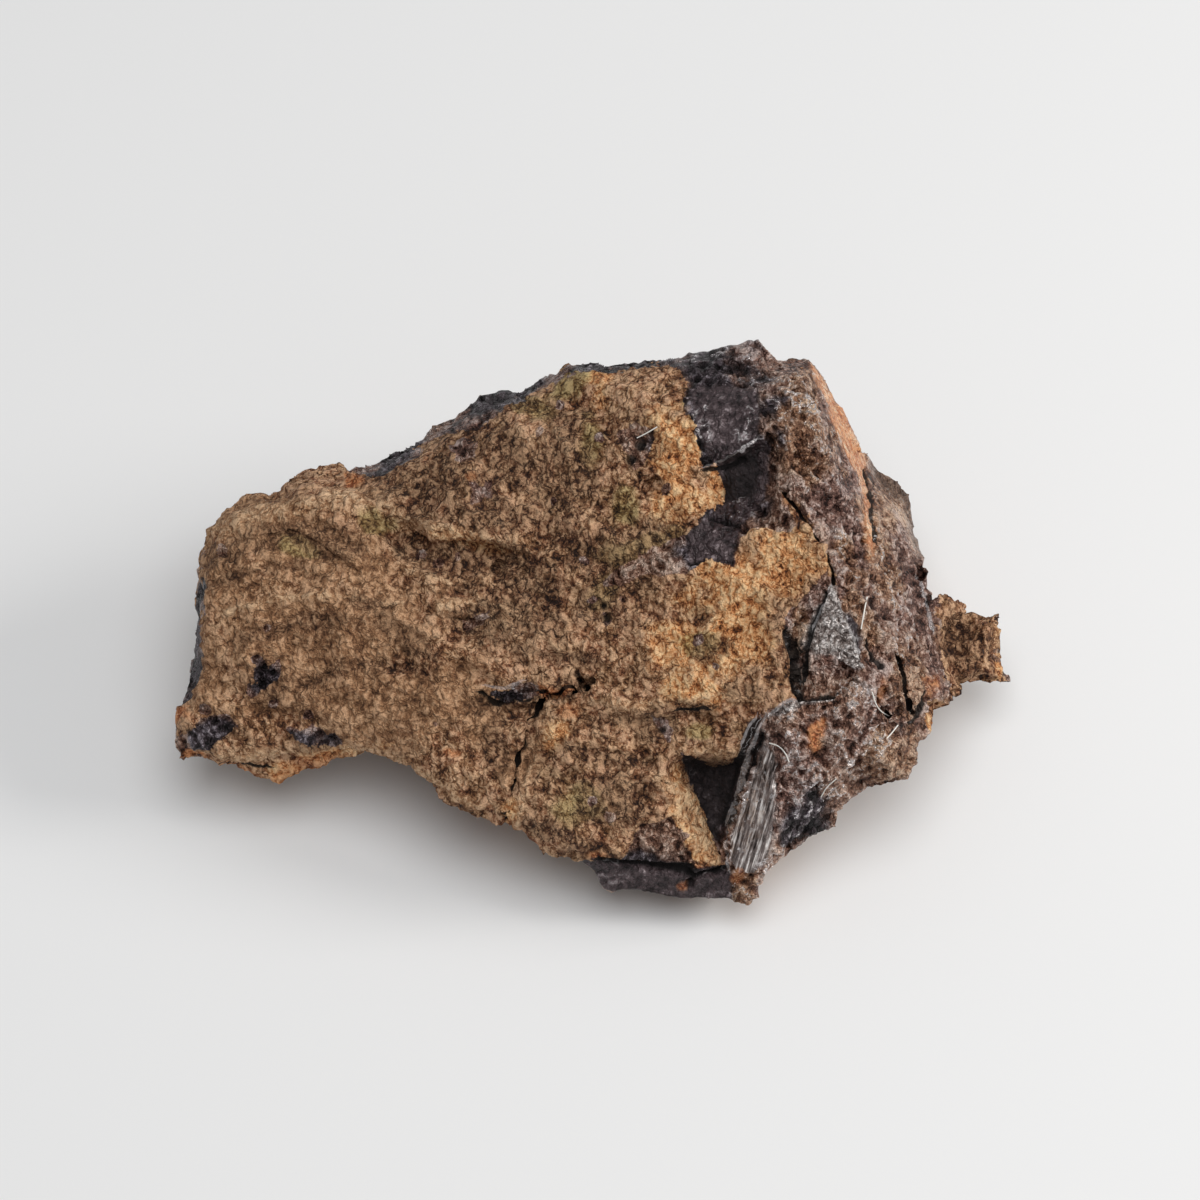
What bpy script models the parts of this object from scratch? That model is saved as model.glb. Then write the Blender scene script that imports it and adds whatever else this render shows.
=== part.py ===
"""An iron meteorite end piece: one broken, weathered fragment about 25 mm long.

The fragment lies on a small flat spot at the origin. Its form is two sheets that share one outline: the
face that is looked down on, and the hidden face with the back, the underside and the flat spot. Both are
drawn on a sloping drawing plane that faces the viewer. A drawn point is (right, up, relief) in
millimetres. It lies on the sight line through that place in the drawing, and relief is how far it stands
out of the drawing plane.
"""

import math

import bmesh
import bpy
from mathutils import Vector, noise
from mathutils.bvhtree import BVHTree
from mathutils.geometry import delaunay_2d_cdt
from mathutils.kdtree import KDTree

MM = 0.001
NAME = "meteorite"

# Driving dimensions, in millimetres and degrees
VIEW_TILT = 55.0  # how steeply the viewer looks down on the fragment
VIEW_DISTANCE = 150.0  # from the viewer to the middle of the drawing plane
SPOT_RIGHT = 2.4  # where the flat spot's centre is, from the drawing's centre
SPOT_FORWARD = 4.4
FACE_SPACING = 0.34  # size of the facets on the face that is looked down on
HIDDEN_SPACING = 0.5
EDGE_WEAR = 0.12  # radius over which creases are rounded
HIDDEN_WEAR = 0.3
SPOT_LEVEL = 0.02  # lower than this above the table, the stone is flat

# Unevenness of the broken surface: how much it adds to the relief, over which size
FACE_UNEVEN = {
    "lump": 0.2, "lump_size": 2.4,
    "grain": 0.06, "grain_size": 0.65,
    "chip": 0.16, "chip_size": 1.7,
}
RIGHT_UNEVEN = {
    "lump": 0.2, "lump_size": 1.9,
    "grain": 0.07, "grain_size": 0.7,
    "chip": 0.45, "chip_size": 1.3,
}
HIDDEN_UNEVEN = {
    "lump": 0.5, "lump_size": 3.4,
    "grain": 0.15, "grain_size": 1.2,
    "chip": 0.65, "chip_size": 2.6,
}
GRAIN_FALL = 0.9  # how fast the grain's layers weaken
GRAIN_RATIO = 2.0  # how much finer each layer is
GRAIN_LAYERS = 2
GRAIN_OFFSET = 0.6
GRAIN_GAIN = 2.0
GRAIN_MIDDLE = 0.9  # the grain's usual value, taken off so that it adds as much as it takes
CHIP_SLOPE = 0.6  # how steep the chips lie
CHIP_STEP = 0.25  # how far they stand over one another
CHIP_TILT_RATE = 7.1
CHIP_STEP_RATE = 3.7
RIGHT_START = 0.6  # distance past the ridge at which the surface is as uneven as the right face
OUTLINE_QUIET = 0.7  # within this distance of the outline the relief dies away
OUTLINE_JITTER = 0.1
OUTLINE_JITTER_RATE = 1.9
GRID_JITTER = 0.5  # share of the spacing
GRID_JITTER_RATE = 2.3
CORNER_BULGE = 0.08  # thickness kept where the outline turns a sharp corner
HIDDEN_QUIET = 1.2  # the same for the hidden face
SPOT_QUIET = 1.0  # below this height the underside grows even
SPOT_CLEAR = 0.06  # clearance of the underside around the flat spot
PIT_SIDES = 9
PIT_RAGGED = 0.7
PIT_RAGGED_RATE = 9.0
PIT_FLOOR = 0.5  # radius of a pit's floor, as a share of its own
LEDGE_STEP = 0.12  # distance over which a ledge falls
WEAR_RAYS = 8  # places around a point that wear averages
RAY_START = 50.0  # well in front of every drawn relief
GRID_CLEAR = 0.55  # how far grid points keep from lines, as a share of the spacing

SIN = math.sin(math.radians(VIEW_TILT))
COS = math.cos(math.radians(VIEW_TILT))
DRIFT_OFFSETS = (Vector((9.3, 1.7, 5.1)), Vector((2.9, 8.3, 0.7)), Vector((4.7, 3.1, 7.9)))

# The outline, clockwise from the left end's upper corner
OUTLINE = [
    (-11.95, 1.25, 4.6), (-11.65, 2.15, 4.3), (-11.15, 2.7, 4.1), (-10.45, 3.05, 3.9),
    (-9.6, 3.25, 3.7), (-9.0, 3.85, 3.4), (-8.4, 4.1, 3.4), (-7.6, 3.9, 3.5),
    (-6.6, 4.2, 3.5), (-6.0, 4.45, 3.4), (-5.4, 4.8, 3.4), (-5.0, 5.15, 3.3),
    (-4.3, 5.6, 3.2), (-3.6, 6.15, 3.1), (-2.4, 6.35, 3.2), (-1.2, 6.85, 3.2),
    (-0.3, 7.15, 3.3), (0.9, 7.1, 3.5), (1.8, 7.25, 3.8), (3.2, 7.55, 4.2),
    (4.85, 7.75, 4.5), (5.1, 7.45, 4.4), (5.4, 7.2, 4.2), (6.3, 7.25, 3.9),
    (6.85, 6.55, 3.8), (7.45, 5.5, 3.8), (7.83, 4.52, 3.8),
    # the low lobe behind the right edge
    (8.0, 4.35, 2.7), (8.35, 3.95, 1.8), (9.0, 3.57, 1.4), (9.3, 3.25, 1.3),
    (9.4, 2.4, 1.6), (9.45, 1.9, 2.3), (9.68, 1.3, 3.5),
    # the right edge
    (9.82, 0.95, 4.7), (10.02, 0.12, 4.9),
    # the small spike
    (10.25, 0.14, 4.2), (10.45, 0.2, 3.9), (10.83, 0.0, 3.7), (10.97, -0.42, 3.6),
    (11.55, -0.45, 3.5), (12.0, -0.42, 3.4), (12.1, -1.15, 3.3), (12.05, -1.75, 3.4),
    (12.35, -2.5, 3.6), (11.6, -2.6, 3.8), (11.3, -2.5, 4.0), (10.82, -2.62, 4.4),
    (10.68, -2.82, 5.9),
    # the lower right
    (10.2, -3.45, 6.3), (9.65, -4.2, 6.7), (9.55, -4.86, 7.0), (9.15, -5.4, 7.1),
    (8.1, -5.73, 7.2), (7.26, -6.21, 7.3), (7.08, -6.84, 7.3), (6.33, -7.29, 7.35),
    (5.4, -7.8, 7.4), (4.95, -8.28, 7.4), (4.47, -9.15, 7.35),
    # the bottom edge
    (3.75, -9.0, 7.4), (2.7, -9.0, 7.4), (1.2, -8.79, 7.45), (0.15, -8.67, 7.5),
    (-0.24, -8.16, 7.6), (-0.84, -7.68, 7.7), (-1.65, -7.53, 7.8), (-2.34, -6.9, 7.9),
    (-3.15, -6.84, 7.9), (-3.75, -6.51, 7.8), (-4.56, -6.03, 7.6), (-5.25, -5.49, 7.2),
    # the arched overhang and the left end
    (-6.0, -4.92, 6.8), (-7.05, -4.59, 6.4), (-8.25, -4.8, 6.2), (-9.15, -5.1, 6.0),
    (-9.63, -5.31, 5.9), (-10.65, -5.07, 5.9), (-11.85, -4.86, 6.0), (-12.6, -4.71, 6.1),
    (-12.75, -4.2, 6.1), (-12.6, -3.36, 5.8), (-12.33, -2.4, 5.6), (-12.15, -1.05, 5.3),
    (-12.12, 0.3, 4.9),
]

# Creases of the face that is looked down on
LEFT_RIM = [
    (-11.65, 1.2, 6.6), (-11.85, 0.0, 6.8), (-11.8, -1.5, 7.0), (-12.0, -3.0, 7.0),
    (-12.4, -3.75, 6.9), (-12.1, -4.3, 6.9),
]
BACK_RIM = [
    (-11.65, 1.2, 6.6), (-11.25, 1.95, 6.2), (-10.2, 2.65, 5.6), (-9.0, 3.3, 5.0),
    (-7.65, 3.45, 5.0), (-6.0, 3.9, 5.2), (-4.8, 4.55, 5.2), (-3.9, 5.25, 5.1),
    (-3.0, 5.65, 5.0), (-2.1, 6.0, 5.0), (-1.2, 6.45, 4.9), (-0.3, 6.75, 4.9),
    (1.2, 6.8, 5.3), (2.1, 6.95, 5.5), (3.3, 7.15, 5.6),
]
FRONT_RIM = [
    (-12.1, -4.3, 6.9), (-10.8, -4.35, 6.9), (-9.3, -4.3, 7.0), (-8.1, -4.2, 7.2),
    (-6.9, -4.2, 7.4), (-5.7, -4.6, 7.8), (-4.8, -5.3, 8.2), (-3.6, -6.15, 8.3),
    (-2.4, -6.55, 8.4), (-1.5, -7.1, 8.5), (-0.6, -7.45, 8.5), (0.0, -7.8, 8.4),
    (1.2, -7.85, 8.3), (2.4, -8.05, 8.2), (3.2, -8.1, 8.1),
]
MAIN_RIDGE = [
    (5.0, 7.2, 5.2), (5.15, 6.6, 6.5), (5.55, 5.1, 7.6), (5.9, 3.3, 8.2),
    (6.85, 1.2, 8.55), (6.6, 0.55, 8.75), (5.9, 0.0, 8.95), (5.6, -0.7, 9.05),
    (5.8, -2.0, 9.2), (5.75, -2.8, 9.35), (5.15, -3.7, 9.5), (5.25, -4.8, 9.4),
    (5.1, -6.0, 9.2), (4.95, -7.5, 8.7), (4.6, -8.4, 8.1),
]
# The cleft past the ridge, and the bright broken facet over it
CLEFT = [
    (6.85, 0.55, 8.3), (6.2, -0.25, 8.45), (5.88, -0.9, 8.4), (6.0, -1.8, 8.35), (5.98, -2.5, 8.6),
]
FACET_EDGE = [
    (6.2, -2.5, 9.05), (6.22, -1.5, 9.1), (6.42, -0.45, 8.95), (6.96, 0.42, 8.7),
    (7.26, -0.06, 8.8), (7.5, -0.84, 9.05), (7.86, -1.92, 9.1), (7.1, -2.5, 8.95),
]
# The ochre face, from the left end to the ridge
OCHRE_POINTS = [
    (-10.5, -1.5, 7.3), (-9.0, 0.0, 7.3), (-10.2, 1.8, 6.7), (-9.0, 2.7, 6.2),
    (-7.5, 1.2, 7.2), (-7.5, -1.8, 7.6), (-6.0, -0.6, 7.4), (-5.4, -3.0, 7.9),
    (-7.5, 2.8, 6.3), (-6.0, 3.1, 6.1), (-9.2, -3.0, 7.3), (-4.5, 3.0, 6.8),
    (-3.9, 4.3, 6.2), (-2.4, 5.2, 6.1), (-1.2, 4.5, 6.6), (-0.3, 6.1, 5.8),
    (0.2, 5.1, 6.7), (1.5, 4.8, 7.2), (1.2, 6.2, 6.2), (2.4, 6.3, 6.4),
    (-1.2, 1.5, 7.5), (-3.0, 0.0, 7.5), (0.6, 3.0, 7.4), (1.5, 1.2, 8.0),
    (3.0, 0.0, 8.5), (4.2, -1.5, 8.9), (4.9, 0.6, 8.6), (0.0, -1.2, 8.1),
    (2.4, -2.7, 8.8), (3.6, -3.7, 9.0), (1.2, -4.2, 8.7), (-0.6, -3.9, 8.5),
    (-1.2, -5.4, 8.6), (0.6, -6.0, 8.6), (-0.3, -7.2, 8.5), (1.2, -7.4, 8.4),
    (-3.0, -3.0, 8.1), (-3.9, -4.5, 8.3), (-4.5, -1.5, 7.7), (-2.0, -1.9, 7.9),
]
# The notch in front of the ridge: its upper edge, black floor and bright left wall
NOTCH_EDGE = [
    (3.05, -7.95, 8.2), (2.4, -7.05, 8.4), (1.85, -5.5, 8.6), (2.4, -4.6, 8.8),
    (3.0, -4.45, 8.9), (4.45, -4.5, 9.1),
]
NOTCH_FLOOR = [
    (3.5, -7.5, 7.3), (2.9, -6.0, 7.3), (2.65, -5.0, 7.4), (4.1, -4.95, 7.5),
    (3.95, -6.0, 7.3), (3.5, -7.1, 7.2),
]
# The grey, smooth flake between the notch and the ridge
FLAKE_EDGE = [
    (4.5, -4.75, 8.5), (4.2, -6.0, 8.2), (3.78, -6.95, 8.0), (3.7, -7.8, 7.9),
]
# The dark facet at the top right, with a lip over a hollow
LIP = [(2.95, 4.8, 7.6), (3.75, 4.35, 8.0), (4.7, 4.85, 7.9)]
LIP_TOP = [(2.95, 5.85, 6.9), (4.75, 6.0, 7.2)]
HOLLOW = [(3.8, 4.12, 7.2), (4.65, 4.5, 7.3), (4.6, 3.3, 7.4), (3.6, 2.95, 7.2)]
HOLLOW_EDGE = [(3.15, 3.6, 7.7), (3.1, 2.3, 7.9), (4.2, 1.95, 8.2), (5.5, 2.4, 8.3)]
# The dark right face
RIGHT_POINTS = [
    (6.35, 6.75, 5.4), (7.4, 3.9, 6.1), (8.1, 2.4, 6.2), (8.7, 0.9, 6.5),
    (9.15, -0.6, 6.8), (9.5, -1.9, 7.1), (6.6, 1.9, 7.9), (7.35, 1.0, 7.9),
    (7.75, -0.6, 8.3), (8.2, -1.7, 8.5), (9.9, -2.7, 7.0), (9.1, -3.9, 8.0),
    (7.5, -4.5, 9.0), (6.1, -4.4, 9.55), (5.9, -6.3, 8.9), (5.5, -7.3, 8.3),
    (8.9, -5.15, 7.8), (7.6, -5.75, 7.9), (6.7, -6.6, 7.9),
]
# The crest that runs down the right face
RIGHT_CREST = [
    (5.9, 6.85, 6.1), (6.65, 5.1, 7.15), (7.3, 3.0, 7.35), (7.95, 1.2, 7.45),
    (8.45, -0.6, 7.9), (8.75, -1.45, 8.15),
]
# The block at the lower right: its top edge, its crest and its far edge
BLOCK_TOP = [
    (5.4, -3.45, 9.6), (5.75, -3.15, 9.65), (6.25, -2.98, 9.65), (7.1, -2.88, 9.55), (7.75, -3.0, 9.3),
]
BLOCK_CREST = [(6.9, -3.7, 9.45), (7.0, -5.0, 9.15), (6.4, -5.9, 8.9)]
BLOCK_FAR = [(8.9, -2.0, 8.3), (9.2, -2.9, 8.2), (8.6, -3.7, 8.5), (8.3, -4.7, 8.5)]
# Where the right edge passes in front of the low lobe and of the spike
LOBE_EDGE = [
    (7.72, 4.4, 4.1), (7.95, 3.8, 4.2), (8.35, 3.2, 4.2), (8.85, 2.55, 4.3),
    (9.25, 1.6, 4.6), (9.65, 0.9, 4.8),
]
LOBE_FOOT = [(8.22, 3.82, 2.2), (8.62, 3.32, 1.9), (9.1, 2.68, 1.9), (9.28, 2.3, 2.0)]
SPIKE_EDGE = [
    (9.9, 0.0, 5.0), (10.12, -1.2, 5.4), (10.32, -2.1, 5.8), (10.5, -2.75, 6.0),
]
SPIKE_FOOT = [(10.32, -0.1, 4.5), (10.4, -1.2, 4.5), (10.55, -2.1, 4.7)]
SPIKE_POINTS = [(10.75, -0.35, 4.8), (11.75, -0.75, 4.7), (11.1, -2.1, 5.1), (11.9, -2.15, 4.9)]

# The hidden face is drawn as (right, up, height above the table)
FLAT_SPOT = [
    (0.6, -6.5, 0.0), (3.2, -6.9, 0.0), (5.4, -5.6, 0.0), (6.2, -3.5, 0.0),
    (5.4, -1.3, 0.0), (3.0, -0.5, 0.0), (0.2, -1.1, 0.0), (-1.2, -3.0, 0.0),
    (-0.8, -5.1, 0.0), (0.6, -6.5, 0.0),
]
HIDDEN_POINTS = [
    # the back, from the top edge down
    (4.6, 6.1, 4.2), (6.4, 5.4, 3.8), (2.2, 6.0, 4.0), (-0.8, 5.6, 3.6),
    (4.2, 4.2, 1.4), (6.8, 3.8, 1.8), (1.5, 4.0, 1.3), (-1.2, 3.6, 1.5),
    (-3.2, 4.6, 3.4), (-5.0, 4.1, 3.5), (-4.6, 2.2, 2.0), (-7.2, 3.0, 3.4),
    (4.6, 1.4, 0.35), (1.6, 1.2, 0.4), (-1.6, 0.8, 0.7), (7.6, 1.6, 0.9),
    # under the low lobe and the right edge
    (8.7, 2.9, 0.9), (9.0, 0.6, 1.6), (9.2, -1.2, 1.9), (7.9, -1.6, 0.6),
    (9.6, -2.9, 2.2), (8.0, -3.9, 0.8), (8.7, -4.7, 1.6), (6.8, -5.5, 0.7),
    # under the spike
    (10.9, -0.9, 1.9), (11.5, -1.9, 2.0), (10.6, -2.2, 2.2),
    # the front
    (5.4, -7.0, 0.45), (4.2, -8.4, 0.35), (2.2, -8.3, 0.4), (0.4, -7.9, 0.55),
    (-1.2, -6.9, 0.9), (-2.9, -6.0, 1.3),
    # the raised left end
    (-2.6, -2.4, 0.9), (-3.4, 0.4, 1.2), (-4.2, -4.6, 1.7), (-5.6, -3.2, 1.9),
    (-6.0, -0.6, 1.8), (-7.4, -3.9, 1.9), (-8.0, -2.0, 2.1), (-8.4, 0.8, 2.5),
    (-9.6, -4.5, 1.3), (-10.2, -2.2, 2.1), (-10.6, 0.6, 2.9), (-9.6, 2.3, 3.2),
    (-11.6, -4.0, 1.9), (-11.6, -0.8, 2.6), (-11.5, -2.6, 2.4),
]

# Small features: a pit is (right, up, radius, depth)
PITS = [
    (-0.52, -2.63, 0.36, 0.9), (-1.35, -2.75, 0.32, 0.35), (-3.1, 0.9, 0.34, 0.3),
    (-3.7, 4.4, 0.36, 0.3), (1.6, 3.4, 0.34, 0.3),
]
# A ledge falls by drop on the right-hand side of its line, and comes back over reach
LEDGES = [
    {"line": [(-10.1, 2.0), (-9.0, 2.15), (-8.1, 1.65), (-7.5, 1.2)], "drop": 0.14, "reach": 0.9},
    {"line": [(1.2, -3.5), (2.3, -3.35), (3.4, -3.4), (4.3, -3.0)], "drop": 0.15, "reach": 0.7},
    {"line": [(-5.4, 1.9), (-4.2, 1.75), (-3.0, 1.6), (-2.4, 1.2)], "drop": 0.3, "reach": 1.3},
    {"line": [(-3.4, -2.9), (-2.8, -3.15), (-2.1, -3.1), (-1.4, -2.7)], "drop": 0.35, "reach": 0.9},
    {"line": [(-4.6, -0.3), (-3.6, -0.5), (-3.0, -0.35)], "drop": 0.22, "reach": 0.8},
]
# A crack is cut along its line
CRACKS = [
    {"line": [(-1.74, -2.97), (-1.92, -3.36), (-2.19, -3.78), (-2.28, -4.32), (-2.5, -4.92),
              (-2.61, -5.7), (-2.82, -6.4)], "width": 0.2, "depth": 0.3},
    {"line": [(8.97, -1.8), (9.05, -2.35), (9.12, -2.7), (9.33, -3.3)], "width": 0.22, "depth": 0.45},
    {"line": [(5.6, 3.15), (6.0, 2.65), (6.4, 2.1), (6.75, 1.3), (7.0, 0.6)],
     "width": 0.18, "depth": 0.25},
    {"line": [(7.38, -2.04), (7.86, -2.6), (8.5, -3.2), (8.88, -3.8)], "width": 0.18, "depth": 0.14},
]

STONE_COLOUR = (0.17, 0.09, 0.045, 1.0)
STONE_ROUGHNESS = 0.85
STONE_METALLIC = 0.1


def relief_at_height(up, height):
    """Relief of the point on the sight line up the drawing that is height over the table."""
    return (height - up * COS) / (SIN - up * COS / VIEW_DISTANCE)


def height_of(up, relief):
    """Height over the table of a drawn point."""
    return up * (1.0 - relief / VIEW_DISTANCE) * COS + relief * SIN


def world(right, up, relief):
    """The drawn point in the fragment's own frame, in metres."""
    nearing = 1.0 - relief / VIEW_DISTANCE
    forward = up * nearing * SIN - relief * COS
    return Vector((right * nearing - SPOT_RIGHT, forward + SPOT_FORWARD, height_of(up, relief))) * MM


def drawn(points):
    """Points given by height above the table, turned into points given by relief."""
    return [(right, up, relief_at_height(up, height)) for right, up, height in points]


def stepped(line, spacing, closed=False):
    """The line with points added so that none of its steps is longer than spacing."""
    ends = line[1:] + line[:1] if closed else line[1:]
    made = []
    for start, end in zip(line, ends):
        start, end = Vector(start), Vector(end)
        steps = max(1, math.ceil((end - start).length / spacing))
        made += [start.lerp(end, i / steps) for i in range(steps)]
    return made if closed else made + [Vector(line[-1])]


def clear_scene():
    for thing in list(bpy.data.objects):
        bpy.data.objects.remove(thing)


def coarse_sheet(outline, lines, points):
    """The flat facets between the drawn points, as a surface that can be asked for its relief.

    No two of the lines may cross, because the crossing would have two reliefs.
    """
    places, edges, reliefs = [], [], []

    def add(line, closed):
        first = len(places)
        for right, up, relief in line:
            places.append(Vector((right, up)))
            reliefs.append(relief)
        last = len(places) - 1
        edges.extend((i, i + 1) for i in range(first, last))
        if closed:
            edges.append((last, first))

    add(outline, True)
    for line in lines:
        add(line, False)
    for point in points:
        add([point], False)
    rim = list(range(len(outline)))
    flat, _, faces, origins, _, _ = delaunay_2d_cdt(places, edges, [rim], 1, 1e-5)
    corners = []
    for place, made_from in zip(flat, origins):
        if not made_from:
            raise ValueError(f"two drawn lines cross at {place.x:.2f}, {place.y:.2f}")
        corners.append(Vector((place.x, place.y, reliefs[made_from[0]])))
    return BVHTree.FromPolygons(corners, faces)


def ask(sheet, right, up):
    """Relief of the coarse sheet there, or None outside it."""
    hit = sheet.ray_cast(Vector((right, up, RAY_START)), Vector((0.0, 0.0, -1.0)))[0]
    return hit.z if hit else None


def worn(sheet, right, up, radius):
    """Relief of the coarse sheet with its creases rounded over radius."""
    found = [ask(sheet, right, up)]
    for i in range(WEAR_RAYS):
        turn = 2 * math.pi * i / WEAR_RAYS
        found.append(ask(sheet, right + radius * math.cos(turn), up + radius * math.sin(turn)))
    found = [relief for relief in found if relief is not None]
    return sum(found) / len(found)


def nearest_on(line, right, up):
    """Distance from a drawn point to a line, and 1 or -1 for its right-hand or left-hand side."""
    best, side = 1e9, 1.0
    for start, end in zip(line, line[1:]):
        along = Vector((end[0] - start[0], end[1] - start[1]))
        to_point = Vector((right - start[0], up - start[1]))
        share = min(1.0, max(0.0, to_point.dot(along) / along.length_squared))
        away = to_point - along * share
        if away.length < best:
            best = away.length
            side = 1.0 if along.x * away.y - along.y * away.x < 0.0 else -1.0
    return best, side


def pit_reach(radius, turn):
    """How far a ragged pit reaches in the direction of turn."""
    around = Vector((math.cos(turn), math.sin(turn), radius * PIT_RAGGED_RATE))
    return radius * (1.0 + PIT_RAGGED * noise.noise(around))


def small_features(right, up):
    """What the pits, ledges and cracks add to the relief."""
    change = 0.0
    for pit_right, pit_up, radius, depth in PITS:
        away = math.hypot(right - pit_right, up - pit_up)
        away /= pit_reach(radius, math.atan2(up - pit_up, right - pit_right))
        change -= depth * min(1.0, max(0.0, (1.0 - away) / (1.0 - PIT_FLOOR)))
    for ledge in LEDGES:
        away, side = nearest_on(ledge["line"], right, up)
        if side > 0.0:
            step = min(1.0, away / LEDGE_STEP)
            change -= ledge["drop"] * step * max(0.0, 1.0 - away / ledge["reach"])
    for crack in CRACKS:
        away, _ = nearest_on(crack["line"], right, up)
        change -= crack["depth"] * max(0.0, 1.0 - 2.0 * away / crack["width"])
    return change


def beside(line, distance):
    """The drawn line moved sideways, to its right-hand side where distance is positive."""
    moved = []
    for i, point in enumerate(line):
        before, after = line[max(0, i - 1)], line[min(len(line) - 1, i + 1)]
        along = Vector((after[0] - before[0], after[1] - before[1])).normalized()
        moved.append((point[0] + along.y * distance, point[1] - along.x * distance, 0.0))
    return moved


def feature_lines():
    """Lines that the facets follow, so that pits, ledges and cracks come out crisp."""
    lines = []
    for right, up, radius, _ in PITS:
        for share in (1.0, PIT_FLOOR):
            loop = []
            for i in range(PIT_SIDES + 1):
                turn = 2 * math.pi * (i % PIT_SIDES) / PIT_SIDES
                reach = pit_reach(radius, turn) * share
                loop.append((right + reach * math.cos(turn), up + reach * math.sin(turn), 0.0))
            lines.append(loop)
    for ledge in LEDGES:
        lines += [beside(ledge["line"], 0.0), beside(ledge["line"], LEDGE_STEP)]
    for crack in CRACKS:
        half = crack["width"] / 2
        lines += [beside(crack["line"], shift) for shift in (-half, 0.0, half)]
    return lines


def chips(place):
    """Flat chips that meet in creases, between about -1 and 1."""
    _, centres = noise.voronoi(place)
    levels = []
    for centre in centres[:3]:
        tilt = Vector([noise.cell(centre * CHIP_TILT_RATE + offset) for offset in DRIFT_OFFSETS])
        level = CHIP_STEP * noise.cell(centre * CHIP_STEP_RATE)
        levels.append(CHIP_SLOPE * tilt.dot(place - centre) + level)
    return min(levels)


def broken(place, uneven):
    """Unevenness of broken iron at a point: lumps and flat chips with a finer grain on them."""
    lump = noise.fractal(place / uneven["lump_size"] + DRIFT_OFFSETS[0], 1.0, 2.1, 3)
    grain = noise.ridged_multi_fractal(
        place / uneven["grain_size"], GRAIN_FALL, GRAIN_RATIO, GRAIN_LAYERS, GRAIN_OFFSET, GRAIN_GAIN)
    grain -= GRAIN_MIDDLE
    chip = chips(place / uneven["chip_size"] + DRIFT_OFFSETS[1])
    return lump * uneven["lump"] + grain * uneven["grain"] + chip * uneven["chip"]


def drift(place):
    """A small smooth offset that changes with the place, the same on every run."""
    return Vector([noise.noise(place + offset) for offset in DRIFT_OFFSETS])


def outline_ring():
    """The outline in short steps, with a little unevenness so that it looks broken."""
    steps = stepped(OUTLINE, FACE_SPACING, closed=True)
    return [point + drift(point * OUTLINE_JITTER_RATE) * OUTLINE_JITTER for point in steps]


def grid_points(ring, lines, spacing):
    """Points for the inside of a sheet on a loose triangular grid, clear of its lines."""
    taken = list(ring)
    for line in lines:
        taken += stepped(line, spacing)
    inside = BVHTree.FromPolygons([Vector((p.x, p.y, 0.0)) for p in ring], [list(range(len(ring)))])
    row_height = spacing * math.sqrt(3) / 2
    left = min(p.x for p in ring)
    low = min(p.y for p in ring)
    columns = int((max(p.x for p in ring) - left) / spacing) + 1
    rows = int((max(p.y for p in ring) - low) / row_height) + 1
    near = GRID_CLEAR * spacing
    made = []
    for row in range(rows):
        for column in range(columns):
            right = left + (column + 0.5 * (row % 2)) * spacing
            up = low + row * row_height
            shift = drift(Vector((right, up, 0.5)) * GRID_JITTER_RATE) * spacing * GRID_JITTER
            right += shift.x
            up += shift.y
            if ask(inside, right, up) is None:
                continue
            if any(abs(p.x - right) < near and abs(p.y - up) < near for p in taken):
                continue
            made.append((right, up))
    return made


def fine_sheet(ring, lines, spacing, relief_at):
    """Corners and triangles of a sheet whose edge is the ring."""
    places = [Vector((p.x, p.y)) for p in ring]
    edges = [(i, (i + 1) % len(ring)) for i in range(len(ring))]
    for line in lines:
        row = stepped(line, spacing)
        first = len(places)
        places += [Vector((p.x, p.y)) for p in row]
        edges += [(first + i, first + i + 1) for i in range(len(row) - 1)]
    places += [Vector(p) for p in grid_points(ring, lines, spacing)]
    flat, _, faces, origins, _, _ = delaunay_2d_cdt(places, edges, [list(range(len(ring)))], 1, 1e-4)
    corners = []
    for place, made_from in zip(flat, origins):
        on_ring = [source for source in made_from if source < len(ring)]
        if on_ring:
            corners.append(ring[on_ring[0]])
        else:
            corners.append(Vector((place.x, place.y, relief_at(place.x, place.y))))
    return corners, faces


def distance_to_ring(ring):
    """A function that gives the drawn distance to the outline."""
    closed = [(p.x, p.y) for p in ring[::2]]
    closed.append(closed[0])
    return lambda right, up: nearest_on(closed, right, up)[0]


def add_sheet(shape, sheet, bulge):
    """Adds a sheet to the mesh. An edge that cuts across a corner of the outline is split and bulged."""
    corners, faces = sheet
    verts = [shape.verts.new(world(*corner)) for corner in corners]
    made = [shape.faces.new([verts[i] for i in face]) for face in faces]
    edges = {edge for face in made for edge in face.edges}
    short_cuts = [e for e in edges if not e.is_boundary and all(v.is_boundary for v in e.verts)]
    split = bmesh.ops.subdivide_edges(shape, edges=short_cuts, cuts=1)
    toward_viewer = Vector((0.0, -COS, SIN))
    for vert in split["geom_inner"]:
        if isinstance(vert, bmesh.types.BMVert):
            vert.co += toward_viewer * bulge * MM


def roughen_hidden(verts, ring):
    """Pushes the hidden sheet in and out along its normals, less near the outline and the flat spot."""
    for vert in verts:
        vert.normal_update()
    edge = KDTree(len(ring))
    for i, point in enumerate(ring):
        edge.insert(world(*point), i)
    edge.balance()
    moves = []
    for vert in verts:
        height = vert.co.z / MM
        if height < SPOT_LEVEL:
            continue
        away = edge.find(vert.co)[2] / MM
        quiet = min(1.0, away / HIDDEN_QUIET, height / SPOT_QUIET)
        moves.append((vert, vert.normal * broken(vert.co / MM, HIDDEN_UNEVEN) * quiet * MM))
    for vert, move in moves:
        vert.co += move
        vert.co.z = max(vert.co.z, SPOT_CLEAR * MM)


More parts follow.
